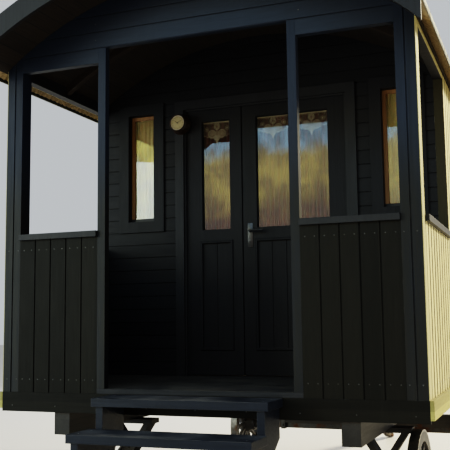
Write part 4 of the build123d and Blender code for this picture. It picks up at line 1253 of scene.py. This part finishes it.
# %% Forge the handle
grip_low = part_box("door_handle")[0]
neck_x, neck_z = grip_low.x + 0.02, grip_low.z + 0.115
lever = (  # along the door, away from it, down, radius
    (0.0, 0.002, 0.0, 0.0105), (0.0, 0.012, 0.0, 0.0085), (0.0, 0.030, 0.0, 0.0075),
    (0.006, 0.040, 0.0, 0.0078), (0.022, 0.0435, 0.0, 0.0074), (0.055, 0.042, 0.001, 0.0072),
    (0.085, 0.040, 0.002, 0.0084), (0.100, 0.038, 0.001, 0.0078), (0.105, 0.036, 0.0, 0.0035),
)
handle = bmesh.new()
for face_y, out in ((leaf_y, -1), (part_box("right_door")[1].y, 1)):
    plate = block(handle, move((neck_x, face_y + out * 0.002, neck_z - 0.03)), (0.04, 0.004, 0.17))
    bmesh.ops.bevel(
        handle, geom=list({edge for vert in plate for edge in vert.link_edges}), offset=0.0018,
        offset_type="OFFSET", segments=3, profile=0.5, affect="EDGES", clamp_overlap=True, material=-1,
    )
    path = [Vector((neck_x + along, face_y + out * away, neck_z - down)) for along, away, down, _ in lever]
    rings = []
    for index, spot in enumerate(path):
        direction = path[min(index + 1, len(path) - 1)] - path[max(index - 1, 0)]
        circle = bmesh.ops.create_circle(
            handle, cap_ends=False, segments=20, radius=lever[index][3], matrix=facing(spot, direction),
        )
        rings.append(list({edge for vert in circle["verts"] for edge in vert.link_edges}))
    for first, second in zip(rings, rings[1:]):
        bmesh.ops.bridge_loops(handle, edges=first + second)
    for end_ring in (rings[0], rings[-1]):
        bmesh.ops.edgeloop_fill(handle, edges=end_ring)
    screw_seat = move((neck_x, face_y + out * 0.0045, neck_z - 0.068)) @ to_porch
    cone(handle, screw_seat, 0.003, 0.005, segments=16)
bmesh.ops.recalc_face_normals(handle, faces=handle.faces)
black_iron = forged("black_handle", (0.03, 0.03, 0.032), (0.06, 0.04, 0.03), 0.1, gloss=0.3)
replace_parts(keep(handle, "forged_handle", "right_leaf", "iron", black_iron), "door_handle")

# %% [markdown]
# ## The brush between the door leaves
#
# Nine millimetres of air between two leaves would let a bright slit show. A joiner fits a strip of black
# bristle along the first leaf's edge. It is sixty small blocks, each tilted a little by chance, and it
# stops two millimetres short of the other leaf, so that either leaf can swing by itself.

# %% Fit the draught brush
leaf_low, leaf_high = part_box("left_door")
brush_x, brush_y = leaf_low.x + 0.422 + 0.0035, leaf_high.y - 0.024
brush = bmesh.new()
tuft_count = 60
tuft = (leaf_high.z - leaf_low.z - 0.01) / tuft_count
for index in range(tuft_count):
    place = move((brush_x, brush_y, leaf_low.z + 0.005 + tuft * (index + 0.5)))
    lean = rotation(math.radians(chance.uniform(-2, 2)), 4, "Y")
    block(brush, place @ lean, (0.0066, 0.010, tuft * 0.985))
keep(brush, "meeting_brush", "left_leaf", "black_paint", paint_trim, smooth=0)

# %% [markdown]
# ## Hoops and nuts of the wheels
#
# Iron hoops keep the elm nave from splitting, and bolts through each felloe hold the tyre. A hoop is a
# small outline spun round the axle's line. The nuts are short six-sided cylinders on the felloe's
# inside, halfway between the spokes, each on a round washer.

# %% Bind the wheels
hoop_outline = (
    (0.0562, 0.0), (0.0596, 0.001), (0.0602, 0.004), (0.0602, 0.013), (0.0596, 0.016), (0.0562, 0.017),
)
spoke_count = 12
for body in ("porch_left", "porch_right", "fore_left", "fore_right"):
    rim_low, rim_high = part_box(f"wheel_{body}")
    hub = (rim_low + rim_high) / 2
    inner_end = (rim_high.x - rim_low.x) / 2 - 0.0215
    irons = bmesh.new()
    for end in (-1, 1):
        points = [hub + Vector((end * (inner_end + along), 0, radius)) for radius, along in hoop_outline]
        spin_line(irons, points, hub, "X", 40)
    close_up(irons)
    for index in range(spoke_count):
        turn = move(hub) @ rotation(2 * math.pi * (index + 0.5) / spoke_count, 4, "X")
        cone(irons, turn @ move((0, 0, 0.2785)), 0.003, 0.0105)
        cone(irons, turn @ move((0, 0, 0.2745)), 0.008, 0.0085, segments=6)
    keep(irons, f"{body}_hoops", f"{body}_wheel", "iron", iron, smooth=30)

# %% [markdown]
# ## Nuts and bolt heads below the floor
#
# Each axle is strapped to its bed, and the turntable's rings are bolted through. One helper sets a
# washer, a six-sided nut and the bolt's tip on any face, along any direction.


# %% Bolt the undercarriage
def set_nut(shape, place, toward, radius):
    turn = facing(place, toward)
    for middle, size, depth, sides in (
        (0.0015, radius * 1.35, 0.003, 20), (0.003 + radius * 0.45, radius, radius * 0.9, 6),
    ):
        seat = turn @ move((0, 0, middle)) @ rotation(0.35 * place[0], 4, "Z")
        cone(shape, seat, depth, size, segments=sides)
    tip = turn @ move((0, 0, 0.003 + radius * 1.15))
    cone(shape, tip, radius * 0.55, radius * 0.5, radius * 0.4, segments=12)


for axle, body in (("porch", "wagon"), ("fore", "fore_carriage")):
    clip_low, clip_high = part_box(f"{axle}_clips")
    nuts = bmesh.new()
    for side in (-1, 1):
        for y, outward in ((clip_low.y, -1), (clip_high.y, 1)):
            for z in (clip_low.z + 0.035, clip_high.z - 0.035):
                set_nut(nuts, (side * (clip_high.x - 0.02), y, z), (0, outward, 0), 0.009)
    keep(nuts, f"{axle}_clip_nuts", body, "iron", iron, smooth=0)

ring_low, ring_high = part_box("lower_plate")
ring_centre = (ring_low + ring_high) / 2
ring_nuts = bmesh.new()
bolt_circle = (ring_high.x - ring_low.x) / 2 - 0.031
for index in range(4):
    for shift in (-0.22, 0.22):
        angle = math.pi / 4 + index * quarter + shift
        x = ring_centre.x + bolt_circle * math.cos(angle)
        y = ring_centre.y + bolt_circle * math.sin(angle)
        set_nut(ring_nuts, (x, y, ring_low.z), (0, 0, -1), 0.010)
keep(ring_nuts, "turntable_nuts", "fore_carriage", "iron", iron, smooth=0)

# %% [markdown]
# ## Bands on the drawbar
#
# Two iron bands stop the ash drawbar from splitting at its ends. The bar slopes and tapers, so the bands
# are made in a frame whose Z follows the bar, from the hinge to the eye. Each is four flat plates round
# the bar, with a nut on each.

# %% Band the drawbar
pin_low, pin_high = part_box("hinge_pin")
eye_low, eye_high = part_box("tow_eye")
hinge = (pin_low + pin_high) / 2
hinge.x = 0
along_bar = facing(hinge, ((eye_low + eye_high) / 2 - hinge).normalized())
bands = bmesh.new()
band_thickness, band_width = 0.004, 0.045
for distance, half in ((0.32, 0.0455), (1.28, 0.0375)):
    sides = [along_bar @ move((0, 0, distance)) @ rotation(index * quarter, 4, "Z") for index in range(4)]
    for seat in sides:
        block(bands, seat @ move((half, 0, 0)), (band_thickness, 2 * half + band_thickness, band_width))
    for seat in sides:
        set_nut(bands, seat @ Vector((half + 0.002, 0, 0)), seat.to_3x3() @ Vector((1, 0, 0)), 0.008)
keep(bands, "drawbar_bands", "pole", "iron", iron, smooth=0)

# %% [markdown]
# ## Screws in the treads
#
# Every tread is held to its two strings by screws, two at each end. Their heads lie a little sunk on the
# real steps, so these are very shallow domes.

# %% Screw down the treads
tread_low, tread_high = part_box("step_treads")
tread_count, going, tread_thickness = 6, 0.25, 0.044
string_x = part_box("step_strings")[1].x - 0.021
tread_screws = bmesh.new()
rise = (tread_high.z - tread_low.z - tread_thickness) / (tread_count - 1)
for index in range(tread_count):
    top = tread_high.z - rise * index
    middle_y = tread_high.y - 0.12 - going * index
    for x in (-string_x, string_x):
        for shift in (-0.065, 0.065):
            drive(tread_screws, (x, middle_y + shift, top - 0.0005), (0, 0, 1), radius=0.0065)
keep(tread_screws, "tread_screws", "wagon", "iron", zinc, smooth=0)

# %% [markdown]
# ## The floor and the last line
#
# The floor is only a stage.

# %% Lay the floor and finish
ground = bmesh.new()
bmesh.ops.create_grid(ground, x_segments=1, y_segments=1, size=40, matrix=move((0, 0, -0.0005)))
pale = new_finish("pale_floor", {"Base Color": (0.62, 0.6, 0.57, 1), "Roughness": 0.85})[0]
studio_floor = as_object(ground, "studio_floor", [pale])
